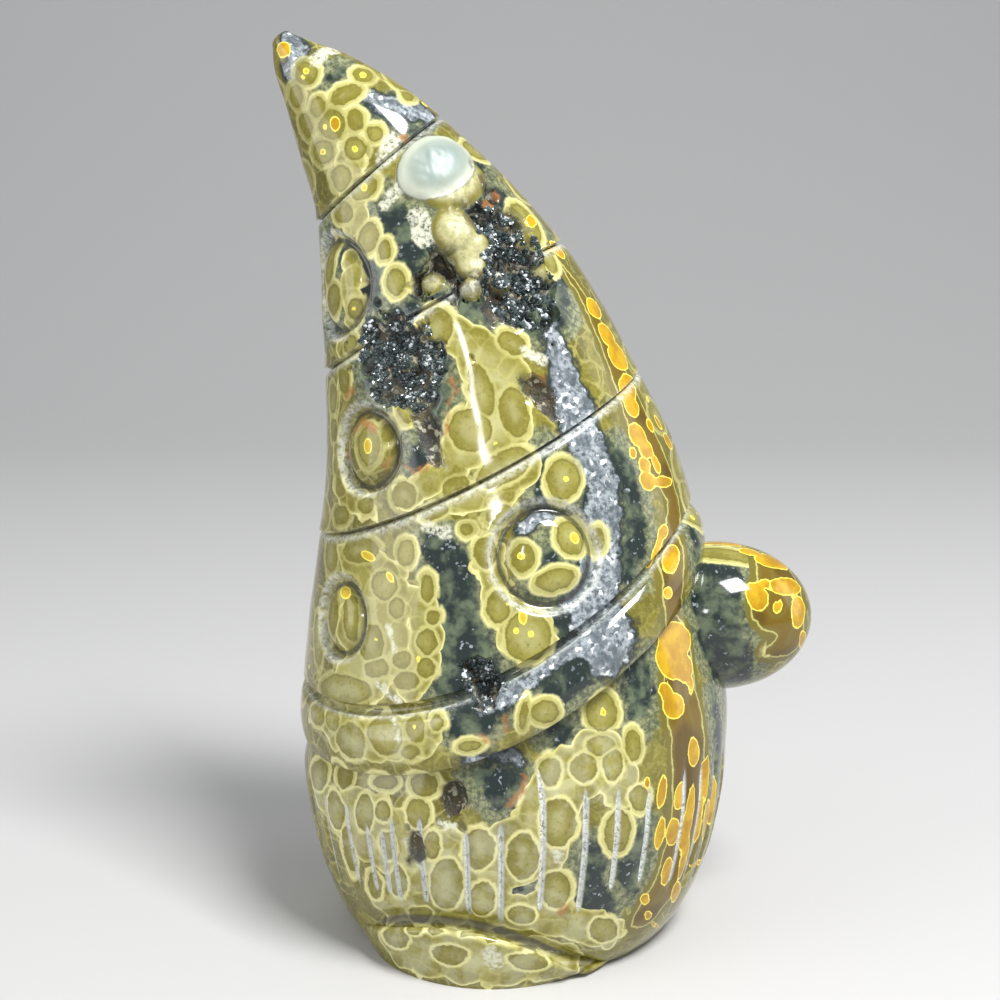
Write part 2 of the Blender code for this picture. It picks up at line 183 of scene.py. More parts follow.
@dataclass(frozen=True)
class Outline:
    """The figure's form: rings for the body, the brim, the neck of the brim and the hat."""

    body: tuple[Ring, ...] = (
        Ring(-28.6, 0.0, 32.8, 0.0, 29.6, 0.0),
        Ring(-30.8, 1.2, 35.2, 1.2, 31.4, 0.0),
        Ring(-33.8, 6.0, 39.0, 6.0, 33.8, 0.0),
        Ring(-36.9, 14.0, 42.6, 14.0, 36.2, 0.0),
        Ring(-39.0, 23.0, 45.2, 24.5, 38.0, 0.5),
        Ring(-40.3, 32.0, 46.6, 37.0, 39.3, 2.5),
        Ring(-40.1, 38.0, 45.8, 54.0, 39.4, 5.5),
        Ring(-38.0, 43.4, 39.3, 76.9, 36.9, 8.6),
    )
    brim: tuple[Ring, ...] = (
        Ring(-38.0, 43.4, 39.3, 76.9, 36.9, 8.6),
        Ring(-39.9, 41.0, 40.8, 77.2, 40.2, 9.2),
        Ring(-40.9, 43.6, 41.3, 81.6, 41.0, 9.3),
        Ring(-41.0, 47.5, 40.4, 85.4, 40.5, 9.3),
        Ring(-40.6, 50.3, 38.8, 87.6, 39.2, 9.1),
        Ring(-39.8, 51.4, 37.5, 88.3, 37.8, 8.9),
    )
    neck: tuple[Ring, ...] = (
        Ring(-39.8, 51.4, 37.5, 88.3, 37.8, 8.9),
        Ring(-39.3, 52.3, 37.2, 89.1, 36.9, 8.8),
        Ring(-40.2, 53.6, 38.2, 90.4, 37.8, 8.5),
    )
    hat: tuple[Ring, ...] = (
        Ring(-40.2, 53.6, 38.2, 90.4, 37.8, 8.5),
        Ring(-38.6, 67.5, 34.2, 102.0, 34.2, 5.0),
        Ring(-36.2, 83.2, 27.2, 115.2, 29.4, 1.6),
        Ring(-34.7, 99.0, 20.2, 128.2, 25.4, -1.0),
        Ring(-34.7, 115.4, 11.8, 140.6, 21.6, -2.6),
        Ring(-35.2, 130.0, 0.8, 153.0, 17.4, -1.6),
        Ring(-35.6, 144.3, -11.6, 164.2, 12.8, -0.2),
        Ring(-38.6, 156.0, -19.6, 170.4, 9.6, 0.0),
        Ring(-41.2, 166.0, -29.2, 175.8, 6.4, 0.0),
        Ring(-43.2, 172.6, -35.4, 178.0, 4.2, 0.0),
        Ring(-43.5, 177.0, -40.2, 179.8, 2.4, 0.0),
    )
    tip: tuple[float, float] = (-42.4, 179.4)

    @property
    def stretches(self) -> tuple[tuple[Ring, ...], ...]:
        """Return the four ring lists from the base to the tip."""
        return (self.body, self.brim, self.neck, self.hat)

    @property
    def starts(self) -> list[int]:
        """Return the height, counted in rings, at which each list starts and the last ends."""
        return list(np.cumsum([0] + [len(rings) - 1 for rings in self.stretches]))

    @property
    def end(self) -> float:
        """Return the height of the hat's last ring, where the tip's dome starts."""
        return float(self.starts[-1])

    def sections(self, heights: np.ndarray) -> np.ndarray:
        """Return the rings' numbers at fractional heights.

        Args:
            heights: Heights counted in rings from the base.

        Returns:
            An array whose last axis holds a ring's six numbers.
        """
        found = np.zeros(heights.shape + (6,))
        starts = self.starts
        for part, rings in enumerate(self.stretches):
            last = part == len(self.stretches) - 1
            inside = (heights >= starts[part]) & ((heights < starts[part + 1]) | last)
            table = np.array([ring.row() for ring in rings])
            end = len(rings) - 1
            steps = np.clip(heights[inside] - starts[part], 0.0, end - 1e-9)
            low = steps.astype(int)
            share = (steps - low)[:, None]
            before, start = table[np.clip(low - 1, 0, end)], table[low]
            stop, after = table[low + 1], table[np.clip(low + 2, 0, end)]
            bend = 2.0 * before - 5.0 * start + 4.0 * stop - after
            twist = 3.0 * start - before - 3.0 * stop + after
            slope = stop - before
            found[inside] = start + 0.5 * (
                slope * share + bend * share ** 2 + twist * share ** 3
            )
        return found

    def points(self, heights: np.ndarray, angles: np.ndarray) -> np.ndarray:
        """Return the surface's points at heights in rings and angles from the nose.

        Args:
            heights: Heights in rings from the base. The last ring, past the end of the
                hat, is a dome that closes the tip.
            angles: Angles in radians from the nose, negative on the figure's right.

        Returns:
            The points in millimetres, one a row.
        """
        back_x, back_z, front_x, front_z, half, droop = np.moveaxis(
            self.sections(np.minimum(heights, self.end)), -1, 0
        )
        lean, side = np.cos(angles), np.sin(angles)
        dome = np.clip(heights - self.end, 0.0, 1.0) * math.pi / 2.0
        climb, shrink = np.sin(dome), np.cos(dome)
        middle_x, middle_z = (back_x + front_x) / 2.0, (back_z + front_z) / 2.0
        rise = (front_z - back_z) / 2.0 * lean - droop * side ** 2
        return np.stack(
            (
                middle_x + (self.tip[0] - middle_x) * climb
                + (front_x - back_x) / 2.0 * lean * shrink,
                half * side * shrink,
                middle_z + (self.tip[1] - middle_z) * climb + rise * shrink,
            ),
            axis=-1,
        )

    def outward(self, heights: np.ndarray, angles: np.ndarray) -> np.ndarray:
        """Return unit vectors that point out of the surface.

        Args:
            heights: Heights in rings from the base.
            angles: Angles in radians from the nose.

        Returns:
            The unit vectors, one a row.
        """
        nudge = 1e-3
        heights = np.clip(heights, 2.0 * nudge, self.end + 0.9)
        rise = self.points(heights + nudge, angles) - self.points(heights - nudge, angles)
        turn = self.points(heights, angles + nudge) - self.points(heights, angles - nudge)
        across = np.cross(turn, rise)
        return across / np.linalg.norm(across, axis=-1, keepdims=True)


@dataclass(frozen=True)
class Site:
    """A place on the hat or the body: rings above the list's first, degrees from the nose."""

    height: float
    angle: float
    on_hat: bool = True


@dataclass(frozen=True)
class Disc:
    """A raised disc that stands in a moat."""

    site: Site
    radius: float
    moat_width: float = 2.3
    moat_depth: float = 2.1
    moat_floor: float = 0.8
    roundness: int = 5
    # Where the grey band of tool marks and painted sheen lies up the moat's wall.
    marks_and_sheen_middle: float = 1.7
    marks_and_sheen_spread: float = 0.55
    # Where the painted shade line lies in the moat's bottom, and how wide it is.
    shade_line_middle: float = 0.25
    shade_line_spread: float = 0.5

    def beyond(self, local: np.ndarray) -> np.ndarray:
        """Return how far points lie outside the disc's edge, or below zero inside it."""
        return ellipse_reach(local, 1.0, 1.0, self.radius) - self.radius

    def relief(self, local: np.ndarray) -> np.ndarray:
        """Return the disc's relief at points given by their distances from its middle."""
        away = self.beyond(local)
        dome = np.clip(away / self.radius + 1.0, 0.0, 1.0) ** self.roundness
        wall = 1.0 - smooth_step(away, self.moat_floor, self.moat_width)
        return -self.moat_depth * np.where(away < 0.0, dome, wall)

    def frost_sheen_and_shade(self, local: np.ndarray) -> np.ndarray:
        """Return the grey marks up the moat's wall, partly painted sheen, or below zero painted
        shade in its bottom.
        """
        away = self.beyond(local)
        marks = bell(away, self.marks_and_sheen_middle, self.marks_and_sheen_spread)
        return marks - bell(away, self.shade_line_middle, self.shade_line_spread)


@dataclass(frozen=True)
class Pocket:
    """A natural hollow in the stone: half its width, half its height and its depth."""

    site: Site
    half_width: float
    half_height: float
    depth: float
    turn: float = 0.0
    rim_wobble: float = 0.46
    floor_wobble: float = 0.25
    floor_curve: float = 0.6
    clearance: float = 6.0

    def relief(self, local: np.ndarray, wobble: np.ndarray) -> tuple[np.ndarray, np.ndarray]:
        """Return the hollow's relief and its share at points near it.

        Args:
            local: Level, steep and outward distances from the hollow's middle.
            wobble: Noise that makes the rim and the floor uneven.

        Returns:
            The relief in millimetres, and 1 inside the hollow falling to 0 at its rim.
        """
        reach = ellipse_reach(
            local, self.half_width, self.half_height, self.depth + self.clearance
        )
        reach = reach * (1.0 + self.rim_wobble * wobble)
        inside = np.clip(1.0 - reach ** 2, 0.0, 1.0)
        floor = inside ** self.floor_curve * (1.0 + self.floor_wobble * wobble)
        return -self.depth * floor, inside


@dataclass(frozen=True)
class Lump:
    """A rounded knob, part sunk in the stone."""

    site: Site
    half_width: float
    half_height: float
    radius: float
    sunk: float
    most_hidden: float = 0.6
    fullness: float = 3.2
    clearance: float = 12.0

    def showing(self, local: np.ndarray) -> np.ndarray:
        """Return 1 at the knob's top and 0 where the surface around it hides it."""
        hidden = min(self.sunk / self.radius, self.most_hidden)
        return np.clip((self.dome(local) - hidden) / (1.0 - hidden), 0.0, 1.0)

    def dome(self, local: np.ndarray) -> np.ndarray:
        """Return the knob's rounded share, 1 at its top and 0 at its rim and beyond."""
        reach = ellipse_reach(local, self.half_width, self.half_height, self.clearance)
        return np.sqrt(np.clip(1.0 - reach ** self.fullness, 0.0, 1.0))

    def relief(self, local: np.ndarray) -> np.ndarray:
        """Return the knob's height over the surface, far below zero outside it."""
        dome = self.dome(local)
        return np.where(dome > 0.0, self.radius * dome - self.sunk, -FAR_AWAY)


@dataclass(frozen=True)
class BeardCut:
    """A V cut that parts two strands of the beard, from low to high in rings."""

    angle: float
    low: float
    high: float


@dataclass(frozen=True)
class Foot:
    """A foot: a crescent ledge whose crest falls away to both ends."""

    centre_x: float = -1.6
    centre_y: float = 9.8
    sole_radius: float = 25.2
    top_radius: float = 27.9
    height: float = 12.6
    crest_x: float = -9.0
    crest_fall: float = 0.018
    lowest_crest: float = 1.8
    bevel: float = 1.2
    bevel_segments: int = 4
    segments: int = 112
    shortest_wall: float = 1.5
    wall_cuts: int = 8

    def crest_height(self, x: float | np.ndarray) -> float | np.ndarray:
        """Return the crest's height at a distance along the figure."""
        return self.height - self.crest_fall * (x - self.crest_x) ** 2

    def build(self, side: float) -> bmesh.types.BMesh:
        """Shape one foot.

        Args:
            side: -1 for the figure's right foot and 1 for its left.

        Returns:
            A closed mesh in millimetres.
        """
        shape = bmesh.new()
        bmesh.ops.create_cone(
            shape, cap_ends=True, segments=self.segments, radius1=self.sole_radius,
            radius2=self.top_radius, depth=self.height,
        )
        centre = Vector((self.centre_x, side * self.centre_y, self.height / 2.0))
        bmesh.ops.translate(shape, vec=centre, verts=shape.verts)
        crest = {vert for vert in shape.verts if vert.co.z > self.height / 2.0}
        for vert in crest:
            vert.co.z = max(self.crest_height(vert.co.x), self.lowest_crest)
        rim = [edge for edge in shape.edges if crest.issuperset(edge.verts)]
        bmesh.ops.bevel(
            shape, geom=rim, offset=self.bevel, segments=self.bevel_segments, profile=0.5,
            affect="EDGES", material=-1,
        )
        bmesh.ops.triangulate(shape, faces=[f for f in shape.faces if len(f.verts) > 4])
        walls = [
            edge for edge in shape.edges
            if abs(edge.verts[0].co.z - edge.verts[1].co.z) > self.shortest_wall
        ]
        bmesh.ops.subdivide_edges(shape, edges=walls, cuts=self.wall_cuts)
        return closed(shape)


@dataclass(frozen=True)
class Nose:
    """The big round nose, longer than it is wide."""

    centre: tuple[float, float, float] = (44.0, 0.0, 64.7)
    radius: float = 15.1
    half_length: float = 19.6
    around: int = 88
    along: int = 56

    def build(self) -> bmesh.types.BMesh:
        """Shape the nose and return it as a closed mesh in millimetres."""
        shape = bmesh.new()
        bmesh.ops.create_uvsphere(
            shape, u_segments=self.around, v_segments=self.along, radius=self.radius
        )
        stretch = Matrix.Diagonal((1.0, 1.0, self.half_length / self.radius, 1.0))
        lay_down = Matrix.Rotation(math.pi / 2.0, 4, "Y")
        place = Matrix.Translation(self.centre)
        bmesh.ops.transform(shape, matrix=place @ lay_down @ stretch, verts=shape.verts)
        return closed(shape)


def closed(shape: bmesh.types.BMesh) -> bmesh.types.BMesh:
    """Return a closed shape cut into triangles that face outwards."""
    bmesh.ops.triangulate(shape, faces=shape.faces)
    bmesh.ops.recalc_face_normals(shape, faces=shape.faces)
    return shape


def smooth_step(values: np.ndarray, low: float, high: float) -> np.ndarray:
    """Return 0 below low, 1 above high and a smooth rise between."""
    share = np.clip((values - low) / (high - low), 0.0, 1.0)
    return share * share * (3.0 - 2.0 * share)


def bell(values: np.ndarray, middle: float, spread: float) -> np.ndarray:
    """Return 1 at a middle value and a smooth fall to 0 on both sides of it."""
    return np.exp(-((values - middle) / spread) ** 2)


def ellipse_reach(
    local: np.ndarray, half_width: float, half_height: float, clearance: float
) -> np.ndarray:
    """Return how far points lie from an ellipse's middle.

    Args:
        local: Level, steep and outward distances from the middle.
        half_width: Half the ellipse's width.
        half_height: Half its height.
        clearance: How far off the surface a point may lie before it counts as far away.

    Returns:
        1 on the ellipse's outline, less inside it and more outside.
    """
    reach = np.hypot(local[:, 0] / half_width, local[:, 1] / half_height)
    return np.where(np.abs(local[:, 2]) > clearance, FAR_AWAY, reach)


def turned(level: Direction, steep: Direction, angle: float) -> tuple[Direction, Direction]:
    """Return two directions, or distances along them, turned by an angle in radians."""
    across = level * math.cos(angle) + steep * math.sin(angle)
    return across, steep * math.cos(angle) - level * math.sin(angle)


def rough_noise(places: np.ndarray, size: float, seed: float, octaves: int = 3) -> np.ndarray:
    """Return smooth noise at many places.

    Args:
        places: Points in millimetres, one a row.
        size: The size of the noise's biggest bumps in millimetres.
        seed: An offset that gives each use its own noise.
        octaves: How many finer layers are added.

    Returns:
        One value a point, about -1 to 1.
    """
    shifted = places / size + seed
    return np.array([
        noise.fractal(Vector(place), 1.0, 2.0, octaves) for place in shifted.tolist()
    ])


def link_mesh(name: str, mesh: bpy.types.Mesh) -> bpy.types.Object:
    """Put a mesh into the scene as an object at the origin."""
    item = bpy.data.objects.new(name, mesh)
    bpy.context.scene.collection.objects.link(item)
    return item


def mesh_of(name: str, shape: bmesh.types.BMesh) -> bpy.types.Mesh:
    """Turn a bmesh into a mesh and free it."""
    mesh = bpy.data.meshes.new(name)
    shape.to_mesh(mesh)
    shape.free()
    return mesh


def coordinates(mesh: bpy.types.Mesh) -> np.ndarray:
    """Return a mesh's vertices, one a row."""
    flat = np.empty(len(mesh.vertices) * 3)
    mesh.vertices.foreach_get("co", flat)
    return flat.reshape(-1, 3)


def write_layer(mesh: bpy.types.Mesh, layer: Layer, values: np.ndarray) -> None:
    """Store three numbers a vertex as a point attribute."""
    attribute = mesh.attributes.get(layer.value)
    if attribute is None:
        attribute = mesh.attributes.new(layer.value, "FLOAT_VECTOR", "POINT")
    attribute.data.foreach_set("vector", values.astype(np.float32).ravel())


def unite(target: bpy.types.Object, shapes: Iterable[bmesh.types.BMesh]) -> None:
    """Join closed shapes to an object's mesh with Boolean unions.

    Args:
        target: The object that the shapes are joined to.
        shapes: Closed shapes in the object's own units.
    """
    helpers = []
    for number, shape in enumerate(shapes):
        helper = link_mesh(f"helper_{number}", mesh_of(f"helper_{number}", shape))
        join = target.modifiers.new(helper.name, "BOOLEAN")
        join.operation = "UNION"
        join.solver = "MANIFOLD"
        join.object = helper
        helpers.append(helper)
    graph = bpy.context.evaluated_depsgraph_get()
    joined = bpy.data.meshes.new_from_object(target.evaluated_get(graph))
    target.modifiers.clear()
    target.data = joined
    for helper in helpers:
        bpy.data.objects.remove(helper, do_unlink=True)


@dataclass
class CarvedStone:
    """The whole carving: hat, brim, nose, beard and feet as one piece of stone.

    Heights and row shifts are counted in rings, and everything else is in millimetres.
    """

    outline: Outline = field(default_factory=Outline)
    nose: Nose = field(default_factory=Nose)
    foot: Foot = field(default_factory=Foot)
    near_step: float = 1.04
    far_step: float = 2.3
    near_side_end: float = 6.0
    row_step: float = 0.68
    row_samples: int = 4000
    crease_rows: tuple[float, ...] = (0.25, 0.5, 0.75, 1.0, 1.25, 1.5, 1.75)
    dome_rows: tuple[float, ...] = (0.2, 0.4, 0.6, 0.8, 0.93, 1.0)
    fold_rows: tuple[float, ...] = (-0.045, -0.03, -0.015, 0.0, 0.012, 0.035)
    fold_clearance: float = 0.05
    fold_heights: tuple[float, ...] = (2.0, 4.0, 6.0)
    fold_depth: float = 1.4
    fold_reach: float = 0.11
    fold_curve: float = 2.2
    lip_height: float = 0.25
    lip_fade: float = 0.12
    fold_bevel: tuple[float, float] = (-0.05, 0.05)
    brim_bevel: tuple[float, float] = (0.1, 0.45)
    knob_wobble: float = 0.24
    knob_shade: float = 0.25
    crease_depth: float = 1.0
    crease_spread: float = 0.55
    foot_hollow: float = 1.5
    foot_hollow_band: tuple[float, float] = (1.2, 2.2)
    foot_shade_band: tuple[float, float] = (0.2, 0.9)
    # The band above each foot's crest that is painted in shade.
    foot_aside: tuple[float, float] = (20.0, 30.0)
    foot_ceiling: tuple[float, float] = (16.0, 20.0)
    cut_depth: float = 1.1
    cut_half_width: float = 1.15
    cut_start: tuple[float, float] = (-0.12, 0.25)
    cut_end: tuple[float, float] = (-0.5, 0.15)
    beard_radius: float = 38.0
    polish_size: float = 13.0
    polish_height: float = 0.16
    polish_start: tuple[float, float] = (0.0, 0.6)
    polish_end: tuple[float, float] = (22.0, 23.0)
    polish_seed: float = 3.7
    wobble_size: float = 3.0
    wobble_seed: float = 11.3
    weld: float = 1e-4
    near_cuts: tuple[BeardCut, ...] = (
        BeardCut(-5.0, 3.1, 5.3), BeardCut(-15.5, 3.1, 5.2), BeardCut(-24.0, 3.0, 5.4),
        BeardCut(-32.5, 3.0, 5.5), BeardCut(-41.0, 3.2, 5.6), BeardCut(-54.5, 3.5, 5.6),
        BeardCut(-63.8, 3.5, 5.8), BeardCut(-72.6, 3.1, 6.0), BeardCut(-83.5, 3.2, 6.5),
        BeardCut(-94.0, 2.8, 5.6), BeardCut(-102.8, 3.0, 5.4), BeardCut(-115.0, 3.2, 5.7),
        BeardCut(-123.4, 3.1, 5.5), BeardCut(-127.0, 3.2, 5.1), BeardCut(-132.0, 3.2, 5.1),
        BeardCut(-139.8, 3.2, 5.5), BeardCut(-151.5, 2.9, 5.4), BeardCut(-162.0, 3.0, 5.4),
        BeardCut(-173.5, 3.1, 5.3),
    )
    discs: tuple[Disc, ...] = (
        Disc(Site(2.87, -132.2), 6.9),
        Disc(Site(0.97, -73.2), 8.6),
        Disc(Site(1.03, -143.0), 6.6),
        Disc(Site(4.98, -145.0), 8.4),
        Disc(Site(1.30, 66.0), 8.2),
        Disc(Site(2.75, 118.0), 7.0),
        Disc(Site(0.95, 137.0), 6.4),
    )
    hat_vug: Pocket = Pocket(Site(3.95, -52.5), 6.4, 11.5, 6.5, -8.0)
    side_vug: Pocket = Pocket(Site(3.62, -112.0), 7.6, 9.4, 3.4)
    brim_vug: Pocket = Pocket(Site(0.05, -93.6), 3.4, 5.0, 4.2, 8.0)
    back_vug: Pocket = Pocket(Site(3.10, 84.0), 5.4, 8.2, 3.6, 12.0)
    small_pockets: tuple[Pocket, ...] = (
        Pocket(Site(4.72, -58.0), 3.0, 6.0, 4.6, 10.0),
        Pocket(Site(4.35, -82.0), 7.0, 3.4, 4.4, 14.0),
        Pocket(Site(2.78, -104.5), 2.4, 7.4, 2.0, -6.0),
        Pocket(Site(2.52, -63.4), 2.5, 4.9, 2.2, 6.0),
        Pocket(Site(6.10, -105.8, on_hat=False), 2.6, 4.6, 3.2, -10.0),
        Pocket(Site(4.64, -116.0, on_hat=False), 2.2, 4.0, 2.0),
        Pocket(Site(5.10, -38.0), 1.6, 6.6, 3.2, -6.0),
        Pocket(Site(3.98, -121.0), 4.2, 3.4, 2.0, 20.0),
        Pocket(Site(3.16, -105.0), 4.0, 4.4, 2.0),
        Pocket(Site(3.62, -64.0), 5.0, 5.2, 3.0),
        Pocket(Site(4.45, -42.0), 3.8, 4.6, 3.0),
        Pocket(Site(3.98, -72.0), 5.6, 4.4, 3.4),
    )
    pale_knob: Lump = Lump(Site(5.48, -55.5), 9.2, 7.2, 4.8, 2.6)
    knob_skirt: Lump = Lump(Site(5.26, -53.5), 8.6, 7.4, 4.4, 3.0)
    small_lumps: tuple[Lump, ...] = (
        Lump(Site(4.66, -70.0), 5.0, 5.8, 4.4, 3.0),
        Lump(Site(4.40, -68.0), 5.2, 4.4, 4.0, 3.2),
        Lump(Site(4.22, -71.0), 3.6, 4.2, 3.8, 3.2),
        Lump(Site(3.92, -76.0), 2.4, 2.5, 3.6, 2.6),
        Lump(Site(3.86, -62.0), 2.6, 2.5, 3.2, 3.4),
        Lump(Site(4.22, -90.0), 2.6, 2.4, 3.0, 2.6),
        Lump(Site(3.55, -110.0), 2.1, 2.1, 2.6, 3.6),
    )

    @property
    def pockets(self) -> tuple[Pocket, ...]:
        """Return every natural hollow."""
        lined = (self.hat_vug, self.side_vug, self.brim_vug, self.back_vug)
        return lined + self.small_pockets

    @property
    def lower_lumps(self) -> tuple[Lump, ...]:
        """Return the pale knob's skirt and the small lumps under it."""
        return (self.knob_skirt,) + self.small_lumps

    @property
    def crease_height(self) -> float:
        """Return the height, counted in rings, of the crease over the brim."""
        return self.outline.starts[2] + 1.0

    @property
    def folds(self) -> list[float]:
        """Return the heights, counted in rings from the base, of the hat's cut lines."""
        return [self.outline.starts[3] + fold for fold in self.fold_heights]

    def height_of(self, site: Site) -> float:
        """Return a site's height counted in rings from the base."""
        return site.height + (self.outline.starts[3] if site.on_hat else 0.0)

    def frame_at(self, site: Site) -> tuple[np.ndarray, np.ndarray, np.ndarray, np.ndarray]:
        """Return a site's place and its level, steep and outward directions."""
        height = np.array([self.height_of(site)])
        angle = np.array([math.radians(site.angle)])
        place = self.outline.points(height, angle)[0]
        outward = self.outline.outward(height, angle)[0]
        beside = self.outline.points(height, angle + 0.01)[0] - place
        level = beside / np.linalg.norm(beside)
        return place, level, np.cross(outward, level), outward

    def local(self, places: np.ndarray, site: Site, turn: float = 0.0) -> np.ndarray:
        """Return places as level, steep and outward distances from a site.

        Args:
            places: Points in millimetres, one a row.
            site: The place on the surface that they are measured from.
            turn: Degrees that the level and steep directions are turned by.

        Returns:
            The three distances, one point a row.
        """
        centre, level, steep, outward = self.frame_at(site)
        away = places - centre
        across, up = turned(away @ level, away @ steep, math.radians(turn))
        return np.stack((across, up, away @ outward), axis=-1)

    def columns(self) -> np.ndarray:
        """Return the angles of the columns, with one down the middle of each beard cut."""
        near = [math.radians(cut.angle) for cut in self.near_cuts]
        marks = sorted(near + [-angle for angle in near] + [-math.pi, math.pi])
        angles: list[float] = []
        for start, stop in zip(marks[:-1], marks[1:]):
            near_side = (start + stop) / 2.0 < math.radians(self.near_side_end)
            step = self.near_step if near_side else self.far_step
            count = max(2, round(math.degrees(stop - start) / step))
            angles += [start + (stop - start) * share / count for share in range(count)]
        return np.array(angles + [math.pi])

    def rows(self) -> np.ndarray:
        """Return the heights of the rows: even steps, and finer ones at each cut line."""
        starts = self.outline.starts
        fine = np.linspace(0.0, self.outline.end, self.row_samples)
        track = self.outline.points(fine, np.full_like(fine, -math.pi / 2.0))
        strides = np.linalg.norm(np.diff(track, axis=0), axis=1)
        run = np.concatenate(([0.0], np.cumsum(strides)))
        count = round(run[-1] / self.row_step)
        heights = list(np.interp(np.linspace(0.0, run[-1], count + 1), run, fine))
        heights += [float(start) for start in starts[1:-1]] + [starts[1] + 1.0]
        heights += [starts[2] + share for share in self.crease_rows]
        heights = [
            height for height in heights
            if all(abs(height - fold) > self.fold_clearance for fold in self.folds)
        ]
        heights += [fold + shift for fold in self.folds for shift in self.fold_rows]
        heights += [self.outline.end + share for share in self.dome_rows]
        return np.unique(np.round(heights, 5))

    def fold_relief(self, heights: np.ndarray) -> np.ndarray:
        """Return the relief of the hat's cut lines: a lip above and a bevel below."""
        relief = np.zeros_like(heights)
        for fold in self.folds:
            away = heights - fold
            under = away < 1e-6
            slope = np.clip(1.0 + away / self.fold_reach, 0.0, 1.0) ** self.fold_curve
            lip = np.exp(-np.clip(away, 0.0, None) / self.lip_fade)
            relief += np.where(under, -self.fold_depth * slope, self.lip_height * lip)
        return relief

    def over_foot(self, ground: np.ndarray, lift: float, spread: float) -> np.ndarray:
        """Return 1 a little above each foot's crest and 0 away from it.

        Args:
            ground: The plain surface's points in millimetres.
            lift: How far above the crest the middle of the band lies.
            spread: How far the band reaches up and down.

        Returns:
            The shares, one point a value.
        """
        over = bell(ground[:, 2] - self.foot.crest_height(ground[:, 0]), lift, spread)
        aside = smooth_step(np.abs(ground[:, 1]), *self.foot_aside)
        return over * aside * (1.0 - smooth_step(ground[:, 2], *self.foot_ceiling))

    def crease_relief(self, heights: np.ndarray, ground: np.ndarray) -> np.ndarray:
        """Return the relief of the crease over the brim and the hollow over each foot."""
        crease = self.crease_depth * bell(heights, self.crease_height, self.crease_spread)
        return -crease - self.foot_hollow * self.over_foot(ground, *self.foot_hollow_band)

    def bevel_share(self, heights: np.ndarray) -> np.ndarray:
        """Return 1 on the ground bevels under the cut lines and the brim, 0 elsewhere."""
        share = bell(heights - self.outline.starts[2], *self.brim_bevel)
        for fold in self.folds:
            share = np.maximum(share, bell(heights - fold, *self.fold_bevel))
        return share

    def cut_share(self, heights: np.ndarray, angles: np.ndarray) -> np.ndarray:
        """Return how deep the beard's V cuts are, from 0 to 1.

        Args:
            heights: Heights in rings from the base.
            angles: Angles in radians from the nose.

        Returns:
            1 at the bottom of a cut and 0 clear of all of them.
        """
        share = np.zeros_like(heights)
        both = [(cut, side) for cut in self.near_cuts for side in (1.0, -1.0)]
        for cut, side in both:
            away = np.abs(angles - side * math.radians(cut.angle)) * self.beard_radius
            away = np.minimum(away, FULL_TURN * self.beard_radius - away)
            across = np.clip(1.0 - away / self.cut_half_width, 0.0, 1.0)
            started = smooth_step(heights, *(cut.low + shift for shift in self.cut_start))
            ended = smooth_step(heights, *(cut.high + shift for shift in self.cut_end))
            share = np.maximum(share, across * started * (1.0 - ended))
        return share

    def relief(
        self, heights: np.ndarray, angles: np.ndarray, ground: np.ndarray
    ) -> tuple[np.ndarray, np.ndarray, np.ndarray]:
        """Return how far each vertex stands out, and the shares that the finish reads.

        Args:
            heights: Heights in rings from the base.
            angles: Angles in radians from the nose.
            ground: The plain surface's points in millimetres.

        Returns:
            The relief in millimetres, the shares of cut, hollow (whose floor the finish paints
            in shade) and tool marks (with painted sheen on the moat walls and, below zero,
            painted shade), and those of the pale knob, the small knobs and the bevels under
            the cut lines.
        """
        waved = smooth_step(heights, *self.polish_start)
        waved = waved * (1.0 - smooth_step(heights, *self.polish_end))
        waves = rough_noise(ground, self.polish_size, self.polish_seed, 2)
        relief = self.polish_height * waved * waves
        relief += self.fold_relief(heights) + self.crease_relief(heights, ground)
        cuts = self.cut_share(heights, angles)
        relief -= self.cut_depth * cuts
        # Below zero: a painted shade line in the groove over each foot.
        frost_and_painted_light = -self.over_foot(ground, *self.foot_shade_band)
        for disc in self.discs:
            local = self.local(ground, disc.site)
            relief += disc.relief(local)
            frost_and_painted_light += disc.frost_sheen_and_shade(local)
        hollow, depth = np.zeros_like(heights), np.zeros_like(heights)
        wobble = rough_noise(ground, self.wobble_size, self.wobble_seed)
        for pocket in self.pockets:
            dent, inside = pocket.relief(self.local(ground, pocket.site, pocket.turn), wobble)
            depth = np.minimum(depth, dent)
            hollow = np.maximum(hollow, inside)
        relief = np.where(depth < 0.0, np.minimum(relief, depth), relief)
        knobs = np.zeros((len(heights), 3))
        for slot, lumps in enumerate(((self.pale_knob,), self.lower_lumps)):
            for lump in lumps:
                local = self.local(ground, lump.site)
                knob = lump.relief(local) + self.knob_wobble * (1 + slot) * wobble
                # Less of the hollow's painted shade where a knob stands out of it.
                hollow = np.where(knob > relief, hollow * self.knob_shade, hollow)
                knobs[:, slot] = np.maximum(knobs[:, slot], lump.showing(local))
                relief = np.maximum(relief, knob)
        knobs[:, 2] = self.bevel_share(heights)
        return relief, np.stack((cuts, hollow, frost_and_painted_light), axis=-1), knobs

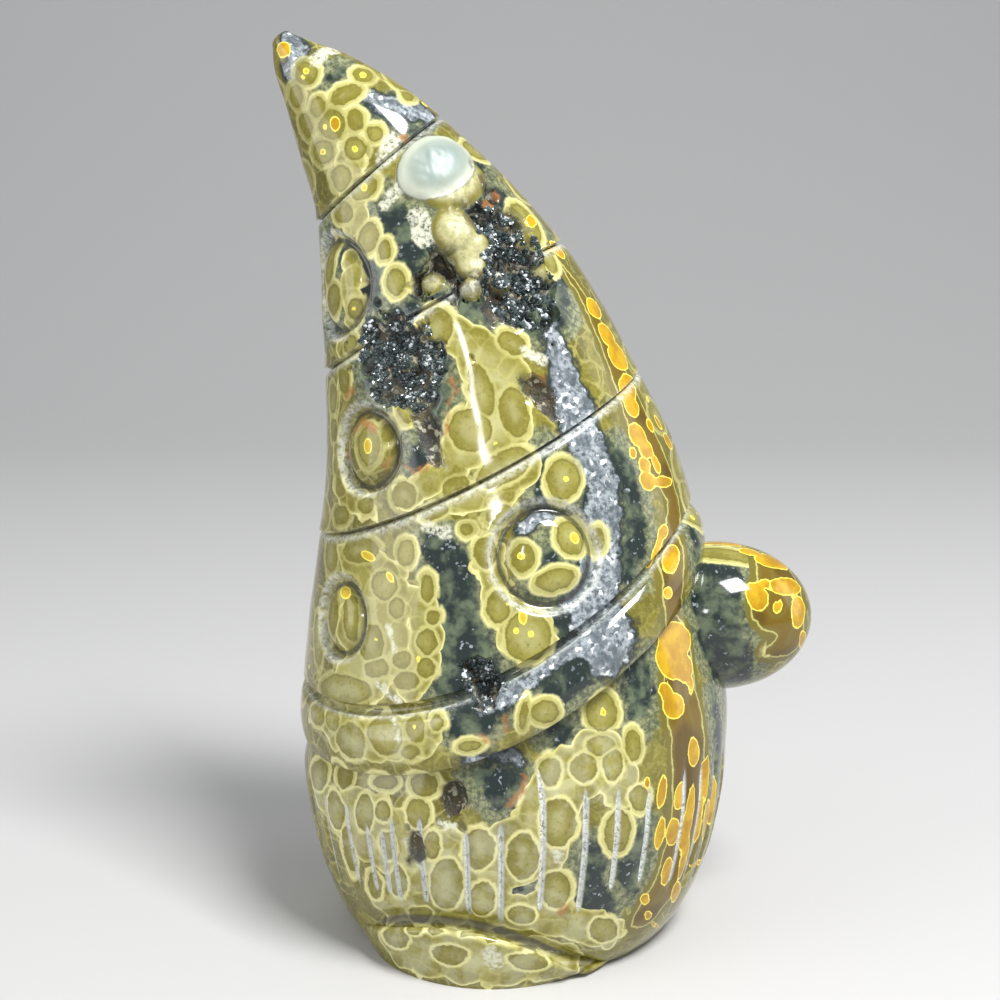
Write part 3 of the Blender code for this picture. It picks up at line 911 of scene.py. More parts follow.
    def build(self) -> bpy.types.Object:
        """Carve the stone and return its object, still in millimetres."""
        columns, rows = self.columns(), self.rows()
        wide, tall = len(columns) - 1, len(rows) - 1
        start = bmesh.new()
        bmesh.ops.create_grid(start, x_segments=wide, y_segments=tall, size=1.0)
        mesh = mesh_of("carved_stone_grid", start)
        flat = coordinates(mesh)
        across = np.rint((flat[:, 0] + 1.0) / 2.0 * wide).astype(int)
        along = np.rint((flat[:, 1] + 1.0) / 2.0 * tall).astype(int)
        heights, angles = rows[along], columns[across]
        ground = self.outline.points(heights, angles)
        relief, shares, knobs = self.relief(heights, angles, ground)
        places = ground + self.outline.outward(heights, angles) * relief[:, None]
        places[:, 2] = np.maximum(places[:, 2], 0.0)
        mesh.vertices.foreach_set("co", places.ravel())
        write_layer(mesh, Layer.CARVING, shares)
        write_layer(mesh, Layer.KNOBS, knobs)
        mesh.update()
        shape = bmesh.new()
        shape.from_mesh(mesh)
        bmesh.ops.remove_doubles(shape, verts=shape.verts, dist=self.weld)
        rims = [edge for edge in shape.edges if edge.is_boundary]
        bmesh.ops.holes_fill(shape, edges=rims)
        bmesh.ops.recalc_face_normals(shape, faces=shape.faces)
        bmesh.ops.triangulate(shape, faces=shape.faces)
        open_edges = sum(not edge.is_manifold for edge in shape.edges)
        LOG.info("volume %.0f mm3, %d open edges", shape.calc_volume(signed=True), open_edges)
        shape.to_mesh(mesh)
        shape.free()
        stone = link_mesh("carved_jasper", mesh)
        unite(stone, (self.nose.build(), self.foot.build(-1.0), self.foot.build(1.0)))
        LOG.info("carved grid: %d columns, %d rows", len(columns), len(rows))
        return stone


Rgb = tuple[float, float, float]
Socket = bpy.types.NodeSocket
Value = Union[float, Socket]
Colour = Union[Rgb, Socket]


class Weave:
    """Adds and joins shader nodes, so that a finish reads like arithmetic."""

    def __init__(self, name: str) -> None:
        """Start a material with one surface shader."""
        self.material = bpy.data.materials.new(name)
        self.material.use_nodes = True
        self.tree = self.material.node_tree
        self.shader = self.tree.nodes["Principled BSDF"]
        self.places = self.node("ShaderNodeTexCoord").outputs["Object"]

    def node(
        self, kind: str, fed: dict[int | str, Value | Rgb] | None = None, **settings: object
    ) -> bpy.types.Node:
        """Add a node.

        Args:
            kind: The node's type.
            fed: What its inputs are joined or set to, by name or number.
            **settings: Its other properties.

        Returns:
            The node.
        """
        made = self.tree.nodes.new(kind)
        for name, value in settings.items():
            setattr(made, name, value)
        for place, value in (fed or {}).items():
            self.feed(made.inputs[place], value)
        return made

    def feed(self, socket: Socket, value: Value | Rgb) -> None:
        """Join a socket to another, or set its number or colour."""
        if isinstance(value, Socket):
            self.tree.links.new(value, socket)
        elif isinstance(value, tuple) and socket.type == "RGBA":
            socket.default_value = (*value, 1.0)
        else:
            socket.default_value = value

    def dress(self, name: str, value: Value | Rgb) -> None:
        """Feed one of the surface shader's inputs."""
        self.feed(self.shader.inputs[name], value)

    def math(self, operation: str, *values: Value) -> Socket:
        """Return the result of one arithmetic step."""
        return self.node("ShaderNodeMath", dict(enumerate(values)), operation=operation).outputs[0]

    def minus(self, value: Value, less: Value) -> Socket:
        """Return the difference of two values."""
        return self.math("SUBTRACT", value, less)

    def plus(self, *values: Value) -> Socket:
        """Return the sum of several values."""
        return reduce(partial(self.math, "ADD"), values)

    def times(self, *values: Value) -> Socket:
        """Return the product of several values."""
        return reduce(partial(self.math, "MULTIPLY"), values)

    def least(self, *values: Value) -> Socket:
        """Return the least of several values."""
        return reduce(partial(self.math, "MINIMUM"), values)

    def most(self, *values: Value) -> Socket:
        """Return the greatest of several values."""
        return reduce(partial(self.math, "MAXIMUM"), values)

    def moved(self, places: Socket, shift: Socket | Rgb) -> Socket:
        """Return places moved by a shift in metres."""
        fed = {0: places, 1: shift}
        return self.node("ShaderNodeVectorMath", fed, operation="ADD").outputs[0]

    @cached_property
    def stirred(self) -> Socket:
        """Return the places moved about in waves, so that cells aren't straight-edged."""
        fed = {"Vector": self.places, "Scale": MILLIMETRES / STIR_SIZE, "Detail": 2.0}
        waves = self.node("ShaderNodeTexNoise", fed).outputs["Color"]
        fed = {0: waves, 1: (0.5, 0.5, 0.5)}
        level = self.node("ShaderNodeVectorMath", fed, operation="SUBTRACT").outputs[0]
        fed = {0: level, "Scale": 2.0 * STIR_REACH * METRES}
        scaled = self.node("ShaderNodeVectorMath", fed, operation="SCALE").outputs[0]
        return self.moved(self.places, scaled)

    def step(self, value: Value, low: float, high: float) -> Socket:
        """Return a smooth rise from 0 at low to 1 at high, or a fall if low is above."""
        falling = float(low > high)
        fed = {
            "Value": value, "From Min": min(low, high), "From Max": max(low, high),
            "To Min": falling, "To Max": 1.0 - falling,
        }
        made = self.node("ShaderNodeMapRange", fed, interpolation_type="SMOOTHSTEP")
        return made.outputs["Result"]

    def band(self, value: Value, middle: float, half: float, soft: float) -> Socket:
        """Return 1 near a middle value and 0 away from it."""
        return self.step(self.math("ABSOLUTE", self.minus(value, middle)), half + soft, half)

    def mix(self, share: Value, under: Colour, over: Colour, strength: float = 1.0) -> Socket:
        """Return one colour laid over another.

        Args:
            share: Where the upper colour lies, from 0 to 1.
            under: The lower colour.
            over: The upper colour.
            strength: How much of it shows where the share is 1.

        Returns:
            The mixed colour.
        """
        if strength < 1.0:
            share = self.times(share, strength)
        made = self.node("ShaderNodeMix", {"Factor": share}, data_type="RGBA")
        colours = [socket for socket in made.inputs if socket.type == "RGBA"]
        self.feed(colours[0], under)
        self.feed(colours[1], over)
        return next(socket for socket in made.outputs if socket.type == "RGBA")

    def blend(self, share: Value, low: Value, high: Value) -> Socket:
        """Return a number between two numbers."""
        fed = {"Factor": share, 2: low, 3: high}
        return self.node("ShaderNodeMix", fed, data_type="FLOAT").outputs[0]

    def noise(
        self, size: float, detail: float = 2.0, roughness: float = 0.55, shift: float = 0.0
    ) -> Socket:
        """Return soft noise about 0.5.

        Args:
            size: The size of its bumps in millimetres.
            detail: How many finer layers it has.
            roughness: How strong the finer layers are.
            shift: A step in millimetres that gives each use its own pattern.

        Returns:
            The noise's value.
        """
        step = shift * METRES
        fed = {
            "Vector": self.moved(self.places, (step, step * 0.7, -step)),
            "Scale": MILLIMETRES / size, "Detail": detail, "Roughness": roughness,
        }
        return self.node("ShaderNodeTexNoise", fed).outputs[0]

    @cached_property
    def fine(self) -> Socket:
        """Return the noise of single grains."""
        return self.noise(0.9, 3.0, 0.7)

    @cached_property
    def ripple(self) -> Socket:
        """Return the noise that roughens outlines."""
        return self.noise(2.3, 3.0, 0.6, 7.0)

    @cached_property
    def cloud(self) -> Socket:
        """Return the noise of patches inside one mark."""
        return self.noise(4.2, 3.0, 0.6, 17.0)

    @cached_property
    def broad(self) -> Socket:
        """Return the slow noise that changes hues over the figure."""
        return self.noise(8.0, 1.0, 0.5, 31.0)

    def swing(self, noise_value: Socket, reach: float, level: float = 0.5) -> Socket:
        """Return a noise as a swing about 0, from its level and times a reach."""
        return self.times(self.minus(noise_value, level), reach)

    def cells(self, size: float, feature: str = "F1", shift: float = 0.0) -> bpy.types.Node:
        """Return a cell pattern whose cells are about size millimetres across."""
        step = shift * METRES
        fed = {
            "Vector": self.moved(self.stirred, (step, -step, step * 0.6)),
            "Scale": MILLIMETRES / size,
        }
        return self.node("ShaderNodeTexVoronoi", fed, feature=feature)

    def chance(self, size: float, shift: float = 0.0) -> Socket:
        """Return a number from 0 to 1 that is the same all over each small grain."""
        fed = {0: self.cells(size, "F1", shift).outputs["Color"]}
        return self.node("ShaderNodeSeparateColor", fed).outputs[0]

    @cached_property
    def height(self) -> Socket:
        """Return the height over the ground in millimetres."""
        parts = self.node("ShaderNodeSeparateXYZ", {0: self.places})
        return self.times(parts.outputs["Z"], MILLIMETRES)

    def layer(self, layer: Layer) -> list[Socket]:
        """Return the three numbers of a point attribute."""
        read = self.node("ShaderNodeAttribute", attribute_name=layer.value)
        return list(self.node("ShaderNodeSeparateXYZ", {0: read.outputs["Vector"]}).outputs)

    def zone(self, zone: Zone) -> Socket:
        """Return the distance from a kind of coloured area, below zero inside it."""
        layer, slot = zone.value
        return self.layer(layer)[slot]

    def bump(self, height: Value, distance: float) -> None:
        """Give the surface a fine bump of a height in millimetres."""
        fed = {"Strength": 1.0, "Distance": distance * METRES, "Height": height}
        self.dress("Normal", self.node("ShaderNodeBump", fed).outputs[0])


@dataclass(frozen=True)
class DruseFinish:
    """Clear and smoky quartz points that glint over dark stone."""

    dark: Rgb = (0.018, 0.026, 0.026)
    smoke: Rgb = (0.075, 0.10, 0.10)
    clear: Rgb = (0.68, 0.72, 0.74)
    roughness: float = 0.08

    def build(self) -> bpy.types.Material:
        """Return the crystals' material."""
        weave = Weave("quartz_druse")
        tint = weave.node("ShaderNodeAttribute", attribute_name="tint").outputs["Fac"]
        body = weave.mix(weave.step(tint, 0.2, 0.75), self.dark, self.smoke)
        body = weave.mix(weave.step(tint, 0.86, 0.95), body, self.clear)
        body = weave.mix(weave.step(weave.noise(0.9, 3.0), 0.5, 0.75), body, self.smoke)
        weave.dress("Base Color", body)
        weave.dress("Roughness", self.roughness)
        weave.dress("IOR", QUARTZ_IOR)
        return weave.material


@dataclass(frozen=True)
class Spot:
    """An ellipse on the stone, placed by the photograph's pixels.

    Attributes:
        column: Its middle's column in the 1000 pixel frame.
        row: Its middle's row, from the top.
        half_width: Half its width in pixels.
        half_height: Half its height in pixels.
        turn: Degrees that it is turned clockwise in the photograph.
    """

    column: float
    row: float
    half_width: float
    half_height: float
    turn: float = 0.0


Line = tuple[tuple[float, float, float], ...]


@dataclass(frozen=True)
class Stop:
    """A point of a hidden side's area: its site, and the area's half width there."""

    height: float
    angle: float
    half_width: float
    on_hat: bool = True

    @property
    def site(self) -> Site:
        """Return the point's place on the stone."""
        return Site(self.height, self.angle, self.on_hat)


@dataclass(frozen=True)
class Footprint:
    """A spot as it lies on the stone, in millimetres."""

    middle: np.ndarray
    across: np.ndarray
    up: np.ndarray
    outward: np.ndarray
    half_width: float
    half_height: float
    margin: float = 7.0

    @property
    def reach(self) -> float:
        """Return how far from the middle the spot still matters."""
        return max(self.half_width, self.half_height) + self.margin

    def distances(self, places: np.ndarray) -> np.ndarray:
        """Return how far places lie outside the spot, or below zero how far inside."""
        away = places - self.middle
        level, steep = away @ self.across, away @ self.up
        share = np.hypot(level / self.half_width, steep / self.half_height)
        length = np.maximum(np.hypot(level, steep), TINY)
        middle_reach = math.sqrt(self.half_width * self.half_height)
        edge = np.where(share > TINY, length / np.maximum(share, TINY), middle_reach)
        found = (share - 1.0) * (0.5 * edge + 0.5 * min(self.half_width, self.half_height))
        return np.where(np.abs(away @ self.outward) > self.reach, FAR_AWAY, found)


@dataclass(frozen=True)
class HiddenSide:
    """The ranges that the marks of the side away from the camera are drawn from.

    Heights are counted in rings, angles are degrees from the nose and sizes millimetres.
    """

    orbs: int = 190
    yolks: int = 60
    ambers: int = 70
    hat_share: float = 0.62
    hat_heights: tuple[float, float] = (0.0, 9.0)
    body_heights: tuple[float, float] = (0.8, 12.0)
    angles: tuple[float, float] = (-16.0, 198.0)
    orb_sizes: tuple[float, float] = (1.5, 4.4)
    yolk_sizes: tuple[float, float] = (0.3, 0.8)
    stretches: tuple[float, float] = (0.8, 1.3)
    amber_hat_share: float = 0.6
    amber_hat_heights: tuple[float, float] = (0.2, 6.5)
    amber_body_heights: tuple[float, float] = (2.0, 7.0)
    amber_angle: float = 16.0
    amber_scatter: float = 9.0
    amber_sizes: tuple[float, float] = (0.7, 2.4)
    amber_width: float = 0.8
    amber_height: float = 1.4

    def site(self, draw: random.Random) -> Site:
        """Draw a place that the photograph doesn't show."""
        on_hat = draw.random() < self.hat_share
        height = draw.uniform(*(self.hat_heights if on_hat else self.body_heights))
        return Site(height, draw.uniform(*self.angles), on_hat)

    def amber_site(self, draw: random.Random) -> Site:
        """Draw a place on the amber strip's far edge."""
        on_hat = draw.random() < self.amber_hat_share
        height = draw.uniform(*(self.amber_hat_heights if on_hat else self.amber_body_heights))
        return Site(height, draw.gauss(self.amber_angle, self.amber_scatter), on_hat)


@dataclass
class StoneMarks:
    """Lays the orbs, veins and stains on the carved stone.

    The camera's side follows the photograph, mark by mark.  The side that it doesn't show
    has marks of the same kinds and sizes from a seeded draw.  A line is a coloured area's
    middle, as columns and rows of pixels, each with the area's half width there.
    """

    stone: CarvedStone
    view: PhotoView
    hidden: HiddenSide = field(default_factory=HiddenSide)
    seed: int = 11
    orb_classes: int = 4
    orb_gap: float = 0.8
    probes: int = 8
    probe_share: float = 0.7
    smallest_probe: float = 9.0
    probe_limit: float = 12.0
    grazing: float = -0.3
    depth_limit: float = 14.0
    most_stretch: float = 2.4
    smallest_mark: float = 0.25
    orbs: tuple[Spot, ...] = (
        # The tip
        Spot(306, 73, 11, 12), Spot(363, 75, 10, 7, 20),
        Spot(346, 94, 17, 9, -25), Spot(408, 95, 7, 5, 30), Spot(318, 108, 8, 11),
        Spot(332, 124, 14, 15), Spot(355, 120, 9, 11), Spot(323, 152, 11, 12),
        Spot(355, 149, 11, 12), Spot(375, 133, 8, 8), Spot(341, 178, 10, 14),
        Spot(364, 187, 15, 11, -30), Spot(296, 96, 7, 12, -10), Spot(306, 126, 6, 12, -15),
        # The middle turn of the hat
        Spot(368, 238, 10, 16, 12), Spot(396, 282, 10, 14), Spot(355, 309, 8, 12),
        Spot(343, 212, 9, 12), Spot(330, 262, 5, 22), Spot(333, 300, 6, 16),
        Spot(525, 225, 14, 24, -30), Spot(350, 344, 8, 10), Spot(344, 379, 6, 15),
        Spot(333, 399, 4, 15), Spot(334, 430, 4, 12), Spot(385, 250, 7, 10),
        Spot(550, 262, 7, 12, -30),
        # The wide turn of the hat
        Spot(436, 328, 16, 20), Spot(408, 410, 10, 13), Spot(388, 432, 7, 9),
        Spot(404, 495, 12, 14), Spot(512, 343, 15, 11, 35), Spot(514, 412, 15, 25, -12),
        Spot(563, 479, 17, 21), Spot(368, 446, 11, 20), Spot(341, 515, 8, 10),
        Spot(366, 505, 9, 8), Spot(435, 512, 14, 6, -20), Spot(505, 470, 30, 14, -30),
        Spot(470, 430, 22, 22, -30), Spot(481, 390, 12, 28, -15), Spot(455, 487, 15, 9, -28),
        # Above the brim
        Spot(467, 530, 7, 7), Spot(487, 553, 12, 16), Spot(523, 558, 12, 15),
        Spot(572, 537, 13, 18, -25), Spot(597, 541, 7, 13), Spot(556, 580, 20, 11, -15),
        Spot(498, 606, 12, 17), Spot(528, 637, 24, 25), Spot(397, 608, 8, 11),
        Spot(427, 588, 7, 14), Spot(434, 617, 7, 8), Spot(427, 642, 10, 13),
        Spot(402, 660, 10, 9), Spot(406, 681, 13, 9), Spot(371, 643, 14, 19),
        Spot(342, 690, 26, 15, 8), Spot(426, 668, 9, 10), Spot(333, 612, 6, 22),
        Spot(350, 616, 8, 25), Spot(360, 550, 18, 13), Spot(384, 585, 13, 15),
        Spot(356, 588, 11, 9), Spot(406, 553, 9, 14), Spot(318, 640, 6, 26),
        Spot(376, 668, 12, 10), Spot(331, 555, 6, 18), Spot(500, 515, 15, 9, -20),
        # The brim
        Spot(317, 714, 7, 12), Spot(332, 719, 7, 12), Spot(350, 741, 14, 18, -20),
        Spot(384, 735, 17, 20, -25), Spot(415, 728, 10, 14), Spot(470, 746, 12, 5, -10),
        Spot(545, 712, 14, 12), Spot(524, 715, 4, 15, 10), Spot(410, 752, 10, 7),
        Spot(437, 722, 7, 8),
        # The beard
        Spot(602, 712, 16, 20), Spot(424, 785, 14, 12), Spot(418, 814, 12, 15),
        Spot(432, 845, 8, 14), Spot(478, 850, 15, 20), Spot(558, 823, 18, 24),
        Spot(523, 857, 16, 23), Spot(550, 772, 11, 15), Spot(584, 768, 13, 14),
        Spot(617, 830, 14, 22), Spot(640, 798, 9, 13), Spot(613, 765, 10, 16),
        Spot(364, 814, 9, 19), Spot(446, 885, 16, 26), Spot(481, 900, 13, 17),
        Spot(556, 890, 15, 18), Spot(400, 880, 9, 16), Spot(383, 812, 8, 10),
        Spot(388, 846, 9, 14), Spot(335, 810, 8, 20, -8), Spot(376, 884, 8, 14),
        Spot(600, 745, 14, 10), Spot(633, 745, 8, 16), Spot(385, 782, 12, 8),
        Spot(350, 850, 7, 24, -10), Spot(521, 915, 14, 9), Spot(604, 930, 14, 12),
        Spot(420, 912, 12, 8), Spot(318, 775, 9, 16), Spot(345, 775, 8, 14),
        # The foot
        Spot(395, 938, 13, 10, 20), Spot(450, 955, 18, 10, 8), Spot(528, 962, 20, 9, 6),
    )
    yolks: tuple[Spot, ...] = (
        Spot(325, 127, 2, 3), Spot(306, 71, 3, 3), Spot(303, 77, 2, 2), Spot(363, 75, 3, 3),
        Spot(323, 152, 3, 3), Spot(355, 149, 3, 3), Spot(364, 187, 3, 4), Spot(354, 309, 2, 2),
        Spot(368, 446, 4, 8), Spot(566, 479, 3, 3), Spot(521, 556, 4, 4), Spot(575, 538, 4, 6, -30),
        Spot(531, 634, 3, 4), Spot(516, 631, 3, 3), Spot(508, 604, 2, 2), Spot(603, 712, 3, 5),
        Spot(418, 659, 2, 3), Spot(376, 639, 2, 2), Spot(414, 727, 2, 2), Spot(495, 443, 2, 2),
        Spot(345, 592, 5, 6), Spot(523, 617, 4, 8), Spot(368, 556, 8, 4, 30),
        Spot(390, 577, 3, 6, -30),
    )
    ambers: tuple[Spot, ...] = (
        # The strip down the hat's front
        Spot(283, 50, 6, 7), Spot(335, 124, 4, 6), Spot(531, 221, 5, 6), Spot(557, 250, 10, 4, 42),
        Spot(594, 308, 5, 11, -30), Spot(607, 335, 5, 13, -30), Spot(618, 356, 7, 15, -28),
        Spot(626, 390, 9, 13, -25), Spot(632, 406, 6, 11, -25), Spot(638, 436, 7, 13, -25),
        Spot(646, 449, 6, 9, -25), Spot(633, 453, 3, 5), Spot(645, 466, 5, 8, -20),
        Spot(648, 481, 7, 9, -30), Spot(663, 482, 9, 5), Spot(650, 425, 2, 6, -25),
        Spot(668, 441, 3, 8, -25), Spot(656, 464, 3, 9, -20),
        # The brim and the cheek
        Spot(663, 532, 4, 7, 15), Spot(657, 550, 3, 13, 15), Spot(671, 558, 8, 14, 8),
        Spot(668, 593, 4, 5), Spot(676, 640, 15, 18, -20), Spot(671, 660, 13, 20, -20),
        Spot(684, 668, 9, 14), Spot(665, 690, 6, 7), Spot(674, 706, 10, 12), Spot(691, 686, 2, 9),
        Spot(694, 752, 5, 14),
        # The beard's right side
        Spot(662, 792, 4, 16, 8), Spot(660, 834, 4, 16, 10), Spot(667, 872, 5, 14, 12),
        Spot(697, 815, 3, 26, 6), Spot(684, 835, 3, 18, 10), Spot(707, 778, 2, 22, 4),
        Spot(676, 892, 4, 10, 16), Spot(700, 862, 3, 18, 12), Spot(712, 800, 2, 24, 6),
        Spot(680, 796, 6, 13, 12), Spot(673, 832, 7, 13, 8), Spot(690, 815, 4, 30, 8),
        Spot(702, 778, 4, 18, 5), Spot(684, 858, 4, 22, 12), Spot(645, 899, 4, 5),
        Spot(648, 915, 3, 4), Spot(655, 925, 5, 6), Spot(647, 783, 3, 5), Spot(706, 820, 3, 20, 8),
        # The nose
        Spot(757, 596, 10, 15, -22), Spot(772, 561, 17, 6, 16), Spot(787, 586, 15, 8, 8),
        Spot(764, 584, 7, 4, -10), Spot(799, 612, 6, 16), Spot(803, 640, 3, 9),
        Spot(793, 663, 7, 5, -35), Spot(778, 606, 4, 6, 20), Spot(748, 551, 9, 3, 8),
    )
    quartz_lines: tuple[Line, ...] = (
        (
            (552, 330, 9), (563, 368, 14), (573, 405, 18), (582, 435, 19), (602, 480, 18),
            (603, 530, 17), (597, 575, 22), (592, 610, 28), (612, 640, 25), (606, 662, 16),
        ),
        ((600, 640, 18), (560, 655, 8), (530, 680, 6), (492, 708, 14)),
        ((372, 97, 6), (398, 106, 11), (425, 114, 11), (455, 128, 6)),
        ((525, 528, 6), (540, 518, 7), (556, 518, 5)),
        ((290, 40, 9), (300, 52, 9), (290, 72, 6)),
        ((470, 758, 6), (515, 760, 6)),
    )
    strip_lines: tuple[Line, ...] = (
        (
            (548, 245, 8), (585, 300, 15), (610, 350, 21), (634, 410, 26), (656, 460, 28),
            (674, 500, 18), (672, 560, 24), (672, 600, 22), (676, 640, 28), (682, 700, 32),
            (690, 760, 34), (690, 820, 38), (672, 870, 34), (648, 912, 26),
        ),
        ((778, 605, 36), (775, 565, 30), (790, 640, 26), (768, 652, 14)),
        ((740, 556, 14), (715, 548, 6)),
    )
    olive_lines: tuple[Line, ...] = (
        ((350, 150, 14), (352, 185, 22), (356, 215, 18), (350, 300, 12), (340, 350, 10)),
        ((340, 380, 10), (335, 430, 8), (338, 490, 12), (370, 510, 14)),
        (
            (440, 326, 16), (470, 345, 26), (500, 375, 34), (505, 412, 34), (478, 438, 34),
            (445, 470, 20), (405, 498, 16),
        ),
        ((524, 468, 22), (490, 490, 24), (440, 512, 12)),
        ((350, 558, 22), (375, 590, 42), (370, 640, 54), (352, 690, 34)),
        ((420, 600, 20), (425, 650, 22), (412, 685, 20)),
        ((312, 712, 12), (348, 735, 26), (392, 738, 28), (430, 735, 18)),
        (
            (325, 800, 22), (370, 830, 44), (425, 862, 44), (475, 868, 40), (530, 850, 40),
            (556, 790, 32), (600, 760, 34), (622, 790, 24),
        ),
        ((390, 905, 26), (470, 905, 26), (545, 912, 26), (610, 935, 20)),
        ((400, 945, 30), (470, 960, 30), (560, 960, 26)),
        ((486, 555, 20), (500, 600, 18), (528, 636, 30)),
    )
    dark_lines: tuple[Line, ...] = (
        ((388, 208, 10), (405, 240, 28), (390, 275, 24), (415, 292, 12)),
        ((352, 262, 14), (366, 285, 12), (372, 300, 10)),
        ((440, 302, 8), (470, 306, 16), (505, 305, 30), (545, 290, 24)),
        ((500, 200, 14), (520, 240, 26), (550, 275, 24), (556, 312, 12)),
        ((334, 238, 8), (342, 260, 5)),
        ((332, 312, 8), (336, 330, 4)),
        ((400, 110, 8), (412, 128, 8), (365, 112, 7)),
        ((340, 72, 5), (333, 80, 5)),
        ((490, 215, 14), (505, 255, 22), (520, 290, 24), (528, 325, 14)),
        ((475, 150, 5), (482, 180, 6), (474, 210, 7), (452, 300, 8)),
        ((408, 312, 10), (392, 340, 24), (390, 370, 30), (436, 365, 16)),
        ((440, 390, 9), (436, 410, 8), (430, 440, 12), (418, 458, 10)),
        ((435, 545, 14), (460, 572, 20), (455, 620, 24), (475, 665, 34)),
        ((452, 690, 18), (500, 685, 22), (470, 722, 18)),
        ((498, 480, 3), (546, 450, 4), (542, 490, 6), (546, 510, 4)),
        ((486, 778, 14), (505, 790, 20), (522, 800, 12)),
        ((594, 858, 13), (590, 890, 15), (600, 912, 16)),
        ((642, 835, 12), (632, 868, 16), (630, 890, 8)),
        ((560, 728, 14), (565, 740, 8)),
        ((638, 660, 12), (640, 690, 16), (636, 715, 10)),
        ((556, 690, 16), (580, 672, 16), (566, 630, 15), (560, 655, 12)),
        ((716, 560, 22), (716, 600, 22), (722, 640, 24), (735, 676, 18)),
        ((590, 500, 8), (586, 515, 7)),
        ((618, 455, 10), (629, 480, 10), (634, 520, 14), (630, 570, 12)),
        ((690, 520, 7), (697, 556, 9), (703, 590, 10)),
        ((714, 700, 10), (718, 740, 9), (718, 780, 7)),
        ((530, 895, 16), (515, 892, 10)),
        ((548, 555, 10), (540, 590, 12), (590, 560, 8)),
    )
    pale_lines: tuple[Line, ...] = (
        ((333, 50, 7), (315, 60, 7)),
        ((385, 205, 6), (400, 186, 8), (424, 192, 7)),
        ((418, 216, 10), (425, 236, 12)),
        ((388, 626, 3), (395, 650, 4)),
        ((378, 684, 4), (398, 702, 4)),
        ((442, 824, 5), (456, 826, 5)),
        ((408, 840, 6), (418, 852, 8), (426, 872, 4)),
        ((385, 160, 10), (392, 140, 9)),
        ((425, 527, 6), (448, 533, 7)),
        ((525, 350, 5), (545, 362, 6)),
        ((394, 718, 3), (398, 738, 4)),
        ((490, 953, 10), (496, 965, 8)),
        ((556, 852, 5), (560, 862, 4)),
        ((452, 140, 8), (440, 158, 18)),
    )
    rust_lines: tuple[Line, ...] = (
        ((352, 390, 6), (346, 396, 4)),
        ((374, 430, 4), (363, 421, 5), (352, 436, 3), (349, 456, 5)),
        (
            (451, 376, 3), (456, 391, 4), (449, 404, 2), (446, 432, 3), (437, 450, 2),
            (428, 466, 3), (414, 474, 2), (403, 464, 3),
        ),
        ((540, 378, 5), (546, 395, 5), (548, 412, 4)),
        ((506, 718, 4), (507, 730, 4)),
        ((480, 737, 5), (490, 742, 3)),
        ((526, 776, 3), (522, 792, 4), (508, 804, 5)),
        ((404, 137, 5), (408, 142, 4)),
        ((488, 205, 7), (494, 196, 6)),
        ((562, 912, 5), (570, 905, 4)),
        ((453, 812, 4), (462, 806, 3)),
        ((385, 466, 4), (390, 458, 3)),
    )
    hidden_lines: tuple[tuple[Zone, tuple[Stop, ...]], ...] = (
        (Zone.OLIVE, (Stop(1.2, 60.0, 15.0), Stop(3.0, 120.0, 14.0))),
        (Zone.OLIVE, (Stop(4.0, 110.0, 16.0, False), Stop(3.0, 165.0, 14.0, False))),
        (Zone.OLIVE, (Stop(3.5, 45.0, 12.0, False), Stop(5.0, 75.0, 10.0, False))),
        (Zone.OLIVE, (Stop(5.0, 90.0, 9.0), Stop(8.0, 120.0, 8.0))),
        (Zone.OLIVE, (Stop(1.0, 165.0, 13.0), Stop(4.0, 175.0, 8.0))),
        (Zone.STRIP, (Stop(0.5, 8.0, 9.0), Stop(4.0, 10.0, 8.0), Stop(7.0, 14.0, 5.0))),
        (Zone.STRIP, (Stop(2.0, 6.0, 12.0, False), Stop(6.0, 8.0, 11.0, False))),
        (Zone.QUARTZ, (Stop(0.5, 96.0, 2.5), Stop(2.2, 78.0, 4.0), Stop(4.6, 62.0, 3.0))),
        (Zone.QUARTZ, (Stop(9.6, 90.0, 3.0), Stop(9.0, 60.0, 2.0))),
        (Zone.DARK, (Stop(3.1, 84.0, 7.5), Stop(2.0, 100.0, 4.0), Stop(0.8, 108.0, 5.0))),
        (Zone.DARK, (Stop(5.5, 60.0, 5.0, False), Stop(3.0, 80.0, 4.0, False))),
        (Zone.PALE, (Stop(2.4, 60.0, 1.5), Stop(1.6, 48.0, 1.0))),
        (Zone.RUST, (Stop(4.2, 92.0, 1.0), Stop(3.2, 104.0, 1.2))),
    )

    @property
    def lines(self) -> dict[Zone, tuple[Line, ...]]:
        """Return the visible lines of each kind of coloured area."""
        return {
            Zone.QUARTZ: self.quartz_lines, Zone.STRIP: self.strip_lines,
            Zone.OLIVE: self.olive_lines, Zone.DARK: self.dark_lines,
            Zone.PALE: self.pale_lines, Zone.RUST: self.rust_lines,
        }

    def hit(
        self, surface: BVHTree, column: float, row: float
    ) -> tuple[Vector | None, Vector | None]:
        """Return the place and direction of the stone that a pixel shows, if it shows any."""
        return surface.ray_cast(self.view.place, self.view.direction(column, row))[:2]

